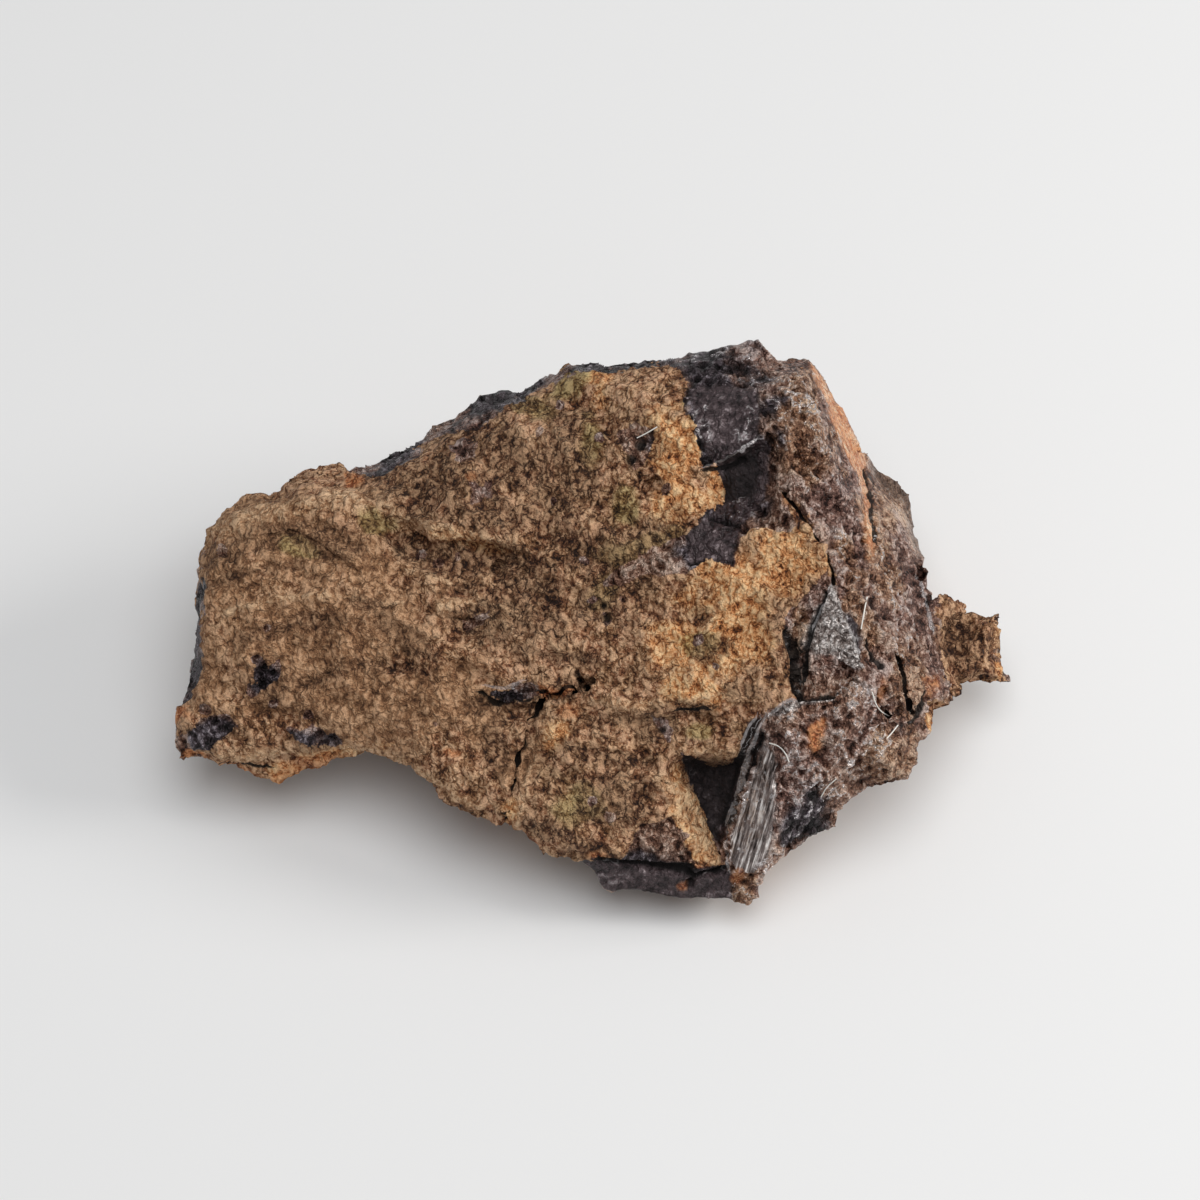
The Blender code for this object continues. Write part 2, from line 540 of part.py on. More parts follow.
def build_fragment():
    ring = outline_ring()
    edge_distance = distance_to_ring(ring)
    face_lines = [
        LEFT_RIM, BACK_RIM, FRONT_RIM, MAIN_RIDGE, NOTCH_EDGE, NOTCH_FLOOR, FLAKE_EDGE,
        LIP, LIP_TOP, HOLLOW, HOLLOW_EDGE, LOBE_EDGE, LOBE_FOOT, SPIKE_EDGE, SPIKE_FOOT,
        CLEFT, FACET_EDGE, RIGHT_CREST, BLOCK_TOP, BLOCK_CREST, BLOCK_FAR,
    ]
    face_points = OCHRE_POINTS + RIGHT_POINTS + SPIKE_POINTS
    fine_lines = face_lines + feature_lines()
    face = coarse_sheet(OUTLINE, face_lines, face_points)
    spot = drawn(FLAT_SPOT)
    hidden = coarse_sheet(OUTLINE, [spot], drawn(HIDDEN_POINTS))

    def face_relief(right, up):
        base = worn(face, right, up, EDGE_WEAR)
        quiet = min(1.0, edge_distance(right, up) / OUTLINE_QUIET)
        past_ridge, side = nearest_on(MAIN_RIDGE, right, up)
        on_right = min(1.0, past_ridge / RIGHT_START) if side < 0.0 else 0.0
        place = Vector((right, up, base))
        rough = broken(place, FACE_UNEVEN) * (1.0 - on_right) + broken(place, RIGHT_UNEVEN) * on_right
        return base + quiet * (rough + small_features(right, up))

    def hidden_relief(right, up):
        base = worn(hidden, right, up, HIDDEN_WEAR)
        return relief_at_height(up, 0.0) if height_of(up, base) < SPOT_LEVEL else base

    shape = bmesh.new()
    on_face = shape.verts.layers.int.new("on face")
    add_sheet(shape, fine_sheet(ring, fine_lines, FACE_SPACING, face_relief), CORNER_BULGE)
    for vert in shape.verts:
        vert[on_face] = 1
    add_sheet(shape, fine_sheet(ring, [spot], HIDDEN_SPACING, hidden_relief), -CORNER_BULGE)
    bmesh.ops.triangulate(shape, faces=shape.faces)
    seam = [vert for vert in shape.verts if vert.is_boundary]
    bmesh.ops.remove_doubles(shape, verts=seam, dist=1e-4 * MM)
    bmesh.ops.recalc_face_normals(shape, faces=shape.faces)
    roughen_hidden([vert for vert in shape.verts if not vert[on_face]], ring)
    mesh = bpy.data.meshes.new(NAME)
    shape.to_mesh(mesh)
    shape.free()
    return bpy.data.objects.new(NAME, mesh)


def stone_material():
    material = bpy.data.materials.new("weathered iron")
    material.use_nodes = True
    shader = material.node_tree.nodes["Principled BSDF"]
    shader.inputs["Base Color"].default_value = STONE_COLOUR
    shader.inputs["Roughness"].default_value = STONE_ROUGHNESS
    shader.inputs["Metallic"].default_value = STONE_METALLIC
    return material


def main():
    clear_scene()
    collection = bpy.data.collections.new("iron meteorite end piece")
    bpy.context.scene.collection.children.link(collection)
    fragment = build_fragment()
    fragment.data.materials.append(stone_material())
    collection.objects.link(fragment)


main()
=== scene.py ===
# Iron meteorite end cut: the finished stone, lint on it, table, light and camera.
import math

import bmesh
import bpy
import numpy as np
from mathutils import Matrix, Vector
from mathutils.bvhtree import BVHTree


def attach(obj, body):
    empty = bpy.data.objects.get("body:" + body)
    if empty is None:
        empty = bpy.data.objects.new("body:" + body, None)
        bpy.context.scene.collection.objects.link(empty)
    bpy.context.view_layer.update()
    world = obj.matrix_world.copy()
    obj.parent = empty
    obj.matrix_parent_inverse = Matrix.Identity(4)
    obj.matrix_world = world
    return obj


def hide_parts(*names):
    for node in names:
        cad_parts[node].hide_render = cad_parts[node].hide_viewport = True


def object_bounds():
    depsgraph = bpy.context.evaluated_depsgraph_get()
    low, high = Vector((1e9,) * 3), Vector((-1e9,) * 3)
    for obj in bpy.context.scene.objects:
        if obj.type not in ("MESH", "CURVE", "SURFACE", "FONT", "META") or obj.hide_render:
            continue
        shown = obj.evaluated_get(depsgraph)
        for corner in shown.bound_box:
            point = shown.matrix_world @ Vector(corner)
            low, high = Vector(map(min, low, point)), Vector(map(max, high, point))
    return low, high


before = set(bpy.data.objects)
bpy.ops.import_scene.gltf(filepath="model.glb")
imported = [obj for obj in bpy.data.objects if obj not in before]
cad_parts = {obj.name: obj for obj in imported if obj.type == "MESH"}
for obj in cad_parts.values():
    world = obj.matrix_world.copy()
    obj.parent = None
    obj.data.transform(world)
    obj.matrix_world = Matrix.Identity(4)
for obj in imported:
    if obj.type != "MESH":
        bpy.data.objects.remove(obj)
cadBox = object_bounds()
mm = 0.001

# The drawing plane faces the camera. Places in it are given in pixels of the 1200 x 1200 photo frame.
viewSettings = {
    "tilt": math.radians(55),      # how steeply the camera looks down
    "distance": 150.0,             # mm, camera to the middle of the drawing plane
    "frameWidth": 36.0,            # mm across the picture there
    "middle": (-2.4, 4.4, 0.0),    # mm, the point on the table at the middle of the picture
    "pixels": 1200,
}
mmPerPixel = viewSettings["frameWidth"] / viewSettings["pixels"]
middle = Vector(viewSettings["middle"])
tiltSin = math.sin(viewSettings["tilt"])
tiltCos = math.cos(viewSettings["tilt"])
upAxis = Vector((0.0, tiltSin, tiltCos))
towardAxis = Vector((0.0, -tiltCos, tiltSin))


def smoothStep(low, high, value):
    share = np.clip((value - low) / (high - low), 0.0, 1.0)
    return share * share * (3.0 - 2.0 * share)


def linearColour(red, green, blue):
    # a display colour of 0 to 255 made linear
    parts = []
    for part in (red, green, blue):
        part /= 255
        parts.append(part / 12.92 if part <= 0.04045 else ((part + 0.055) / 1.055) ** 2.4)
    return (*parts, 1.0)


def hashed(cells, seed):
    # an even random value from -1 to 1 for each whole-number cell
    mixed = np.sin(cells @ np.array([127.1, 311.7, 74.7]) + seed * 19.19) * 43758.5453
    return 2.0 * (mixed - np.floor(mixed)) - 1.0


def noiseField(points, size, seed=0):
    # smooth noise of -1 to 1 at many points, with bumps about size apart
    scaled = points / size + seed * 7.31
    base = np.floor(scaled)
    part = scaled - base
    part = part * part * (3.0 - 2.0 * part)
    total = np.zeros(len(points))
    for corner in np.ndindex(2, 2, 2):
        weight = np.prod(np.where(np.array(corner) == 1, part, 1.0 - part), axis=1)
        total += weight * hashed(base + np.array(corner), seed)
    return total


def roughField(points, size, layers, seed=0):
    # noise with finer and weaker layers on it
    total = np.zeros(len(points))
    for layer in range(layers):
        total += noiseField(points, size / 2.1 ** layer, seed + layer) * 0.5 ** layer
    return total


def wormField(points, size, seed=0):
    # winding crests of 0 to 1, as of a spongy crust
    bend = np.stack([noiseField(points, size * 1.7, seed + 11 + i) for i in range(3)], axis=1)
    return 1.0 - np.abs(noiseField(points + bend * size * 0.8, size, seed)) * 2.0


def cellField(points, size, seed=0):
    # distance to the nearest and next grain middle, and the nearest grain's own random value
    scaled = points / size
    base = np.floor(scaled)
    nearest = np.full(len(points), 9.0)
    second = np.full(len(points), 9.0)
    value = np.zeros(len(points))
    for step in np.ndindex(3, 3, 3):
        cell = base + np.array(step) - 1.0
        spot = cell + 0.5 + 0.45 * np.stack([hashed(cell, seed + 3 * i) for i in range(3)], axis=1)
        away = np.linalg.norm(scaled - spot, axis=1)
        closer = away < nearest
        second = np.where(closer, nearest, np.minimum(second, away))
        value = np.where(closer, hashed(cell, seed + 20), value)
        nearest = np.where(closer, away, nearest)
    return nearest, second, value


def insideDistance(places, outline):
    # how far inside a drawn outline each place is, in mm, and less than 0 outside
    corners = np.array([photoPlace(*corner) for corner in outline])
    nearest = np.full(len(places), 1e9)
    crossings = np.zeros(len(places), dtype=int)
    for start, end in zip(corners, np.roll(corners, -1, axis=0)):
        along = end - start
        offset = places - start
        share = np.clip(offset @ along / (along @ along), 0.0, 1.0)
        nearest = np.minimum(nearest, np.linalg.norm(offset - share[:, None] * along, axis=1))
        straddles = (start[1] > places[:, 1]) != (end[1] > places[:, 1])
        rise = along[1] if along[1] else 1e-12
        crossings += straddles & (places[:, 0] < start[0] + along[0] * (places[:, 1] - start[1]) / rise)
    return np.where(crossings % 2 == 1, nearest, -nearest)


def lineDistance(places, line):
    # distance to a drawn open line in mm, and 1 on its right-hand side, -1 on its left
    corners = np.array([photoPlace(*corner) for corner in line])
    nearest = np.full(len(places), 1e9)
    side = np.ones(len(places))
    for start, end in zip(corners[:-1], corners[1:]):
        along = end - start
        offset = places - start
        share = np.clip(offset @ along / (along @ along), 0.0, 1.0)
        away = np.linalg.norm(offset - share[:, None] * along, axis=1)
        turn = along[0] * offset[:, 1] - along[1] * offset[:, 0]
        closer = away < nearest
        side = np.where(closer, np.where(turn < 0, 1.0, -1.0), side)
        nearest = np.where(closer, away, nearest)
    return nearest, side


def photoPlace(x, y):
    # a pixel of the photo frame as (right, up) in mm on the drawing plane
    half = viewSettings["pixels"] / 2
    return ((x - half) * mmPerPixel, (half - y) * mmPerPixel)


def drawnPlaces(points):
    # where points in mm are seen on the drawing plane
    offset = points - np.array(middle)
    relief = offset @ np.array(towardAxis)
    nearing = 1.0 - relief / viewSettings["distance"]
    return np.stack([offset[:, 0] / nearing, offset @ np.array(upAxis) / nearing], axis=1)


# Marks on the stone, in photo pixels. Outlines have crisp borders, ragged by the crust's own pattern.
# Blobs are (x, y, half width, half height, turn in degrees) with soft borders.
bareIron = {  # where the ochre crust is missing
    "leftEdge": [(150, 540), (203, 545), (204, 600), (203, 650), (197, 690), (186, 706), (150, 706)],
    "backEdge": [(346, 470), (362, 452), (405, 428), (440, 416), (470, 392), (530, 378), (600, 352),
                 (700, 335), (694, 354), (640, 368), (600, 370), (570, 377), (534, 390), (520, 404),
                 (480, 424), (446, 432), (405, 462), (378, 478), (356, 478)],
    "rightSide": [(660, 335), (664, 362), (680, 368), (688, 390), (683, 402), (686, 416), (695, 425),
                  (701, 450), (704, 470), (708, 490), (707, 510), (699, 525), (686, 534), (668, 540),
                  (650, 552), (622, 566), (606, 582), (624, 584), (648, 574), (672, 574), (684, 576),
                  (706, 560), (733, 565), (740, 537), (752, 528), (770, 528), (790, 530), (800, 518),
                  (813, 535), (827, 562), (826, 574), (806, 594), (790, 612), (786, 628), (792, 640),
                  (796, 668), (795, 694), (784, 708), (765, 714), (748, 724), (742, 744), (734, 758),
                  (722, 764), (706, 760), (681, 752), (686, 772), (697, 800), (706, 824), (716, 846),
                  (722, 866), (712, 868), (690, 864), (640, 862), (598, 861), (560, 858), (560, 930),
                  (1100, 930), (1100, 300), (660, 300)],
    "lowLeft": [(172, 738), (196, 728), (204, 720), (228, 716), (236, 726), (222, 738), (214, 748),
                (176, 752)],
    "scar": [(242, 696), (248, 684), (256, 682), (252, 668), (262, 659), (268, 668), (279, 661),
             (283, 672), (270, 684), (258, 697)],
    "lipScar": [(486, 690), (504, 690), (516, 684), (538, 686), (540, 692), (524, 700), (508, 706),
                (494, 700)],
    "stripeShade": [(640, 828), (654, 820), (672, 818), (680, 836), (694, 862), (650, 866), (612, 866),
                    (628, 850)],
    "middleScar": [(462, 628), (470, 616), (490, 609), (493, 616), (480, 626)],
    "upperScar": [(470, 480), (480, 486), (492, 478), (490, 490), (494, 502), (482, 498), (472, 504),
                  (474, 492)],
    "edgeScar": [(450, 446), (462, 438), (476, 442), (474, 456), (458, 460)],
    "lowBand": [(288, 728), (300, 730), (314, 724), (326, 732), (340, 738), (334, 746), (312, 742),
                (296, 738)],
    "porous": [(618, 434), (634, 424), (648, 430), (656, 424), (654, 440), (644, 462), (634, 470),
               (626, 456)],
    "groove": [(652, 716), (664, 716), (674, 730), (670, 742), (660, 736)],
}
bareDots = [  # x, y, radius
    (256, 661, 5), (272, 704, 4), (204, 708, 5), (308, 716, 4), (221, 551, 6), (266, 628, 3),
    (436, 725, 3), (604, 614, 6), (592, 600, 4), (560, 405, 4), (607, 622, 5), (680, 836, 6),
    (540, 436, 3), (552, 500, 3), (420, 552, 5), (436, 560, 5), (456, 556, 4), (622, 598, 5),
    (584, 560, 4), (700, 640, 4), (716, 666, 3), (610, 816, 5), (594, 800, 4), (600, 436, 4),
    (664, 490, 4),
]
brightBlobs = [  # tan ochre
    (775, 560, 54, 36, 10), (736, 596, 60, 40, -25), (720, 644, 54, 44, 0), (700, 690, 36, 18, 0),
    (672, 450, 28, 48, 10), (668, 500, 34, 28, 0), (600, 386, 14, 20, 0), (690, 820, 17, 60, -22),
    (704, 848, 14, 24, -25), (336, 750, 36, 6, -6), (286, 770, 26, 9, 8), (462, 540, 44, 6, 12),
    (514, 806, 10, 20, 20), (716, 488, 12, 26, 0), (700, 858, 16, 8, 10), (560, 734, 12, 20, 25),
    (1001, 648, 5, 34, 0), (928, 720, 8, 16, 0),
]
oliveBlobs = [  # greenish ochre
    (566, 386, 34, 17, -18), (538, 412, 20, 18, 0), (628, 506, 18, 26, 0), (634, 552, 40, 18, -12),
    (608, 590, 20, 22, 0), (296, 546, 18, 9, 20), (380, 524, 26, 11, 12), (700, 642, 18, 12, 0),
    (668, 545, 26, 18, -30), (590, 440, 14, 24, 0), (700, 732, 20, 10, 0), (570, 800, 40, 24, 25),
    (690, 400, 8, 20, 0),
]
darkCrustAndShadeBlobs = [  # darker ochre: darker crust in places, painted shade in hollows and below raised steps in others
    (560, 450, 34, 64, -12), (634, 446, 24, 30, 0), (612, 596, 50, 32, -20), (604, 562, 46, 22, 0),
    (510, 470, 60, 44, -10), (450, 480, 70, 34, -20), (446, 556, 50, 16, 5), (330, 545, 34, 12, 15),
    (656, 728, 28, 22, 0), (612, 806, 50, 44, 20), (650, 848, 30, 24, 0), (506, 700, 40, 12, -10),
    (524, 600, 60, 50, 30), (640, 540, 50, 24, -15), (264, 676, 24, 22, 0), (212, 734, 36, 16, -10),
    (470, 618, 30, 16, -20), (745, 690, 30, 12, 0), (232, 548, 24, 12, 0), (716, 650, 20, 16, 0),
    (700, 614, 14, 12, 0), (560, 690, 26, 10, -10), (500, 740, 14, 34, 10), (790, 640, 12, 30, 0),
    (312, 736, 26, 10, 0), (690, 708, 24, 8, 0), (962, 650, 22, 50, 0), (470, 450, 50, 30, -20),
    (500, 510, 60, 24, 10), (590, 846, 40, 16, 12), (545, 826, 28, 12, 20), (372, 606, 24, 9, 20),
    (420, 650, 30, 12, 25),
]
paleBlobs = [  # calmer, greyer ochre
    (262, 640, 94, 100, 20), (330, 690, 110, 60, 10), (232, 590, 50, 70, 0), (440, 700, 64, 40, 10),
    (310, 560, 110, 60, 20), (520, 770, 20, 30, 0), (260, 530, 70, 50, 0), (400, 620, 50, 50, 0),
]
peachMarks = {  # fresh rust in smooth layers, paler
    "edgeStrip": [(812, 362), (824, 374), (840, 398), (852, 420), (861, 440), (868, 470), (858, 476),
                  (845, 452), (834, 422), (820, 388)],
    "edgeLine": [(858, 470), (867, 470), (876, 530), (873, 562), (867, 530)],
}
rustMarks = {
    "redSpot": [(810, 726), (816, 720), (824, 719), (824, 732), (817, 752), (809, 746)],
    "rightPatch": [(930, 680), (938, 677), (941, 688), (933, 697)],
    "backSpot": [(344, 476), (358, 480), (362, 488), (348, 491)],
    "lowLeftSpot": [(180, 710), (192, 707), (191, 720), (179, 722)],
    "cornerSpot": [(184, 752), (204, 752), (206, 760), (186, 758)],
    "holeRust": [(536, 690), (560, 684), (576, 688), (566, 698), (548, 699)],
}
rustBlobs = [  # orange rust
    (450, 752, 12, 6, 10), (566, 712, 12, 8, 0), (600, 384, 8, 10, 0), (786, 500, 4, 7, 0),
    (738, 876, 5, 6, 20), (932, 688, 8, 14, 0), (352, 484, 9, 6, 0), (882, 690, 6, 18, 10),
    (188, 756, 14, 4, 0), (682, 886, 5, 4, 0), (700, 866, 12, 4, 0), (470, 476, 8, 5, 0),
    (596, 856, 10, 3, 0), (244, 772, 40, 9, 4), (318, 764, 36, 10, -4),
]
smoothIron = {  # bare metal faces: smooth, dark and a little shiny
    "darkPlane": [(690, 392), (702, 386), (724, 384), (757, 392), (760, 410), (756, 438), (738, 450),
                  (714, 464), (702, 446)],
    "notch": [(680, 753), (746, 750), (742, 775), (733, 812), (719, 848), (704, 819), (686, 772)],
    "frontStrip": [(560, 856), (640, 862), (722, 866), (732, 872), (732, 930), (560, 930)],
    "tongue": [(684, 534), (706, 518), (740, 528), (733, 566), (706, 561), (690, 562)],
    "hollow": [(712, 468), (740, 450), (762, 440), (770, 480), (765, 500), (742, 524), (714, 516),
               (710, 490)],
}
calmIron = {  # worn faces with little relief
    "lowLobe": [(866, 450), (940, 450), (940, 560), (918, 556), (902, 506), (872, 476)],
}
sunkenDark = {  # deep places that little light reaches
    "notch": [(680, 756), (700, 753), (740, 757), (736, 790), (724, 820), (716, 842), (704, 822),
              (688, 780)],
    "hollow": [(722, 462), (750, 450), (760, 470), (752, 500), (726, 498)],
}
shadedSlits = {  # gaps on both sides of the thin raised edge by the flake, painted black as shade
    "beforeBlade": [(752, 718), (745, 728), (738, 752), (729, 786), (718, 826), (724, 826), (732, 800),
                    (742, 764), (756, 732), (762, 718)],
    "behindBlade": [(763, 726), (766, 740), (757, 756), (746, 788), (735, 818), (729, 828), (726, 822),
                    (737, 794), (746, 764), (756, 738)],
}
crustBack = {  # ochre crust left on the dark side
    "fringe": [(702, 470), (716, 462), (722, 480), (724, 500), (714, 514), (704, 506)],
    "crackLine": [(779, 492), (785, 494), (800, 509), (814, 531), (829, 556), (838, 584), (832, 584),
                  (822, 560), (806, 532), (792, 511)],
    "spike": [(938, 592), (1020, 592), (1020, 700), (950, 700), (941, 660)],
    "rightTan": [(928, 702), (944, 700), (946, 726), (932, 742)],
}
greyIron = {  # bright broken metal
    "glintFacet": [(832, 582), (842, 602), (850, 628), (865, 667), (850, 668), (834, 656), (816, 654),
                   (804, 646), (808, 626), (818, 602)],
    "lipLine": [(768, 716), (784, 704), (802, 699), (832, 694), (836, 700), (804, 706), (780, 716)],
}
streaked = {  # broken along its length, in fine streaks
    "flake": [(763, 742), (774, 756), (777, 790), (773, 826), (764, 866), (752, 874), (736, 873),
              (729, 858), (731, 834), (747, 794), (757, 760)],
}
brightEdges = [  # thin broken edges that catch the light
    [(765, 716), (754, 738), (744, 764), (735, 796), (726, 822)],
    [(755, 717), (747, 730), (742, 744)],
    [(727, 830), (724, 852), (728, 868)],
    [(768, 715), (784, 705), (802, 700), (828, 697)],
    [(831, 586), (822, 602), (812, 624)],
    [(849, 628), (856, 646), (864, 664)],
    [(706, 466), (722, 462), (742, 448), (757, 440)],
    [(486, 685), (504, 688), (522, 683)],
    [(922, 574), (930, 600), (934, 628)],
]
edgeHighlightLines = [  # raised edges of the ochre face, raised in the mesh and painted lighter as a highlight: line and half width in mm
    ([(392, 519), (424, 524), (452, 534), (486, 538), (514, 545)], 0.16),
    ([(204, 536), (250, 522), (300, 508), (344, 501), (396, 512)], 0.2),
    ([(548, 706), (541, 730), (534, 760), (526, 786), (520, 812), (514, 828)], 0.13),
    ([(196, 752), (240, 752), (290, 750), (330, 744), (356, 742), (400, 758), (440, 784), (476, 808)], 0.1),
    ([(300, 770), (330, 756), (352, 750)], 0.09),
    ([(664, 784), (680, 800), (692, 826), (706, 852), (718, 862)], 0.3),
    ([(440, 606), (470, 600), (500, 606), (530, 622), (560, 650)], 0.12),
    ([(590, 700), (620, 706), (660, 704), (700, 700), (740, 690)], 0.12),
    ([(400, 566), (440, 580), (480, 596), (520, 640)], 0.1),
    ([(230, 612), (280, 600), (340, 596), (400, 606)], 0.12),
    ([(590, 520), (572, 486), (566, 446), (548, 420)], 0.1),
    ([(720, 604), (700, 640), (690, 676)], 0.16),
    ([(600, 860), (572, 856), (530, 842)], 0.08),
    ([(682, 750), (704, 748), (728, 752), (746, 751)], 0.06),
]
grooveLines = [  # shallow grooves of the ochre face, cut in the mesh and painted darker as shade: line and half width in mm
    ([(212, 562), (256, 540), (306, 529), (352, 536)], 0.3),
    ([(404, 548), (432, 562), (470, 564), (508, 556)], 0.32),
    ([(240, 640), (300, 622), (360, 620), (420, 636)], 0.22),
    ([(300, 684), (360, 664), (420, 668)], 0.24),
    ([(556, 540), (600, 556), (648, 560)], 0.3),
    ([(446, 640), (470, 632), (500, 640), (532, 668)], 0.2),
    ([(200, 590), (240, 572), (300, 566)], 0.2),
    ([(590, 716), (630, 722), (668, 724)], 0.22),
    ([(560, 744), (600, 760), (648, 764)], 0.2),
    ([(520, 650), (560, 660), (600, 664)], 0.2),
]
brownBlobs = [  # brown iron, the rest being purplish
    (796, 440, 36, 48, -15), (896, 760, 50, 38, -40), (985, 640, 50, 50, 0), (742, 888, 16, 18, 0),
    (800, 628, 13, 46, -6), (904, 690, 28, 44, 0), (856, 600, 14, 70, -12), (895, 500, 40, 40, 0),
    (940, 720, 24, 30, 0), (886, 560, 16, 60, -16), (810, 390, 22, 26, 0), (820, 745, 12, 22, 0),
]
blueBlobs = [  # blue-black iron
    (806, 820, 30, 24, -20), (722, 430, 52, 104, -8), (700, 556, 30, 20, 0), (724, 520, 26, 26, 0),
    (850, 640, 12, 24, -16), (212, 734, 30, 16, 0), (264, 676, 20, 20, 0), (640, 870, 70, 24, 0),
    (500, 694, 30, 10, 0), (390, 450, 50, 20, -20), (500, 392, 50, 18, -20), (300, 735, 40, 12, 0),
    (640, 358, 60, 14, -8), (190, 640, 14, 90, 0),
]
glintBlobs = [  # iron whose crests get painted glints, a painted highlight in white
    (832, 615, 14, 32, -20), (854, 650, 9, 18, -20), (918, 596, 12, 24, -20), (752, 424, 12, 22, 0),
    (744, 372, 14, 20, -30), (812, 820, 26, 18, -20), (786, 712, 40, 8, 0), (748, 806, 16, 56, 15),
    (745, 885, 12, 14, 0), (852, 690, 24, 8, 20), (806, 760, 30, 30, 0), (850, 560, 14, 50, -14),
    (700, 350, 30, 12, 0), (890, 580, 14, 50, -14), (868, 440, 10, 60, -20), (800, 420, 30, 50, -15),
    (905, 640, 14, 30, 0), (860, 740, 40, 26, -30), (640, 352, 40, 8, -8), (506, 692, 24, 8, 0),
    (800, 766, 40, 46, 0), (876, 712, 36, 30, 0), (840, 770, 40, 50, 0), (780, 690, 30, 20, 0),
    (838, 706, 40, 12, 0), (780, 860, 20, 20, 0), (700, 428, 8, 30, 0), (736, 510, 20, 14, 0),
    (820, 470, 24, 50, -15),
]
softPatches = {  # patches drawn as soft blobs
    "bright": brightBlobs, "olive": oliveBlobs, "darkCrustAndShade": darkCrustAndShadeBlobs, "pale": paleBlobs, "brown": brownBlobs,
    "blue": blueBlobs, "glint": glintBlobs,
}
darkCuts = [  # a cut carved in the mesh and painted near black as shade in it: its line, width and depth in mm
    {"line": [(542, 699), (536, 712), (527, 726), (524, 744), (518, 764), (511, 790), (505, 818)],
     "width": 0.1, "depth": 0.14},
    {"line": [(785, 495), (799, 510), (813, 532), (826, 556), (834, 582)], "width": 0.1, "depth": 0.16},
    {"line": [(788, 634), (794, 652), (796, 670), (797, 690)], "width": 0.3, "depth": 0.35},
    {"line": [(797, 694), (812, 698), (832, 695)], "width": 0.2, "depth": 0.3},
    {"line": [(899, 660), (902, 678), (905, 692), (911, 710)], "width": 0.1, "depth": 0.1},
    {"line": [(758, 738), (750, 758), (742, 782), (732, 812)], "width": 0.13, "depth": 0.2},
    {"line": [(678, 710), (692, 708), (708, 709)], "width": 0.08, "depth": 0.1},
    {"line": [(640, 866), (664, 869), (684, 872), (694, 880), (706, 873), (722, 869)],
     "width": 0.18, "depth": 0.25},
    {"line": [(826, 590), (812, 622), (806, 650), (804, 680)], "width": 0.14, "depth": 0.18},
    {"line": [(600, 860), (640, 865), (690, 868)], "width": 0.16, "depth": 0.18},
    {"line": [(480, 694), (494, 704), (512, 707), (532, 700)], "width": 0.12, "depth": 0.14},
    {"line": [(540, 690), (556, 692), (572, 688)], "width": 0.12, "depth": 0.16},
    {"line": [(744, 460), (720, 468), (706, 470)], "width": 0.14, "depth": 0.14},
    {"line": [(378, 756), (404, 770), (432, 792), (464, 816), (490, 830)], "width": 0.1, "depth": 0.12},
    {"line": [(222, 762), (248, 760), (272, 764)], "width": 0.07, "depth": 0.08},
    {"line": [(866, 470), (872, 500), (876, 540)], "width": 0.12, "depth": 0.12},
    {"line": [(868, 640), (872, 656), (880, 668)], "width": 0.14, "depth": 0.14},
    {"line": [(924, 690), (921, 706), (914, 722)], "width": 0.14, "depth": 0.14},
]
holes = [  # holes carved in the mesh and painted near black as shade: x, y, radius in pixels, depth in mm
    (577, 674, 3, 0.25), (581, 681, 4, 0.4), (587, 688, 4, 0.45), (575, 691, 4, 0.35), (592, 681, 3, 0.2),
    (607, 618, 5, 0.22), (604, 606, 4, 0.18), (640, 444, 6, 0.2), (630, 460, 5, 0.2), (662, 730, 4, 0.1),
    (690, 884, 6, 0.3),
]
ledges = [  # a step in the face: its line, the drop on its right-hand side in mm and how far the step is felt
    {"line": [(396, 520), (424, 526), (452, 536), (486, 540), (512, 548)], "drop": 0.22, "reach": 0.7},
    {"line": [(476, 668), (496, 682), (520, 688), (540, 686), (566, 692), (590, 700)],
     "drop": 0.2, "reach": 0.6},
    {"line": [(505, 820), (516, 780), (526, 742), (540, 700)], "drop": 0.12, "reach": 0.5},
    {"line": [(460, 630), (480, 622), (500, 628), (520, 650)], "drop": 0.1, "reach": 0.5},
    {"line": [(640, 716), (676, 712), (712, 714), (744, 700)], "drop": 0.1, "reach": 0.5},
    {"line": [(700, 604), (690, 640), (700, 676), (690, 700)], "drop": -0.08, "reach": 0.5},
    {"line": [(760, 345), (778, 420), (800, 480), (822, 540)], "drop": -0.14, "reach": 0.5},
    {"line": [(520, 400), (548, 430), (556, 480), (590, 520), (600, 570)], "drop": -0.12, "reach": 0.6},
    {"line": [(300, 520), (330, 536), (362, 566), (380, 610)], "drop": -0.07, "reach": 0.5},
]

stoneSettings = {
    "faceCuts": 4,           # cuts of each edge that the camera can see
    "seenFrom": 0.1,         # how squarely a face must look at the camera for that, 1 being straight at it
    "hiddenCuts": 2,
    "hiddenLength": 0.3,     # mm, shorter edges are left whole
    "evenRounds": 6,         # rounds of smoothing before the fine relief
    "crustRise": 0.1,        # mm that the ochre crust stands over bare iron
    "spongeSize": 0.21,
    "spongeRise": 0.055,
    "foldAlong": (0.85, -0.43, -0.3),
    "foldAcross": (0.5, 0.7, 0.5),
    "foldStretch": 0.22,
    "foldSize": 0.75,
    "foldRise": 0.15,
    "gnarlSize": 0.27,
    "gnarlRise": 0.1,
    "pitSize": 1.3,
    "pitRise": 0.2,
    "grainSize": 0.26,
    "grainRise": 0.1,
    "chunkSize": 0.9,
    "chunkRise": 0.16,
    "edgeHalfWidth": 0.042,  # mm, of the bright broken edges
    "wornRise": 0.09,
    "grooveDrop": 0.1,
    "bladeAcross": (0.93, 0.37),  # ribs along the grey flake
    "bladeAlong": (-0.37, 0.93),
    "bladeStretch": 0.12,
    "bladeSize": 0.13,
    "bladeRise": 0.07,
    "spotHeight": 0.25,      # mm, below this the fine relief fades to keep the flat spot flat
}


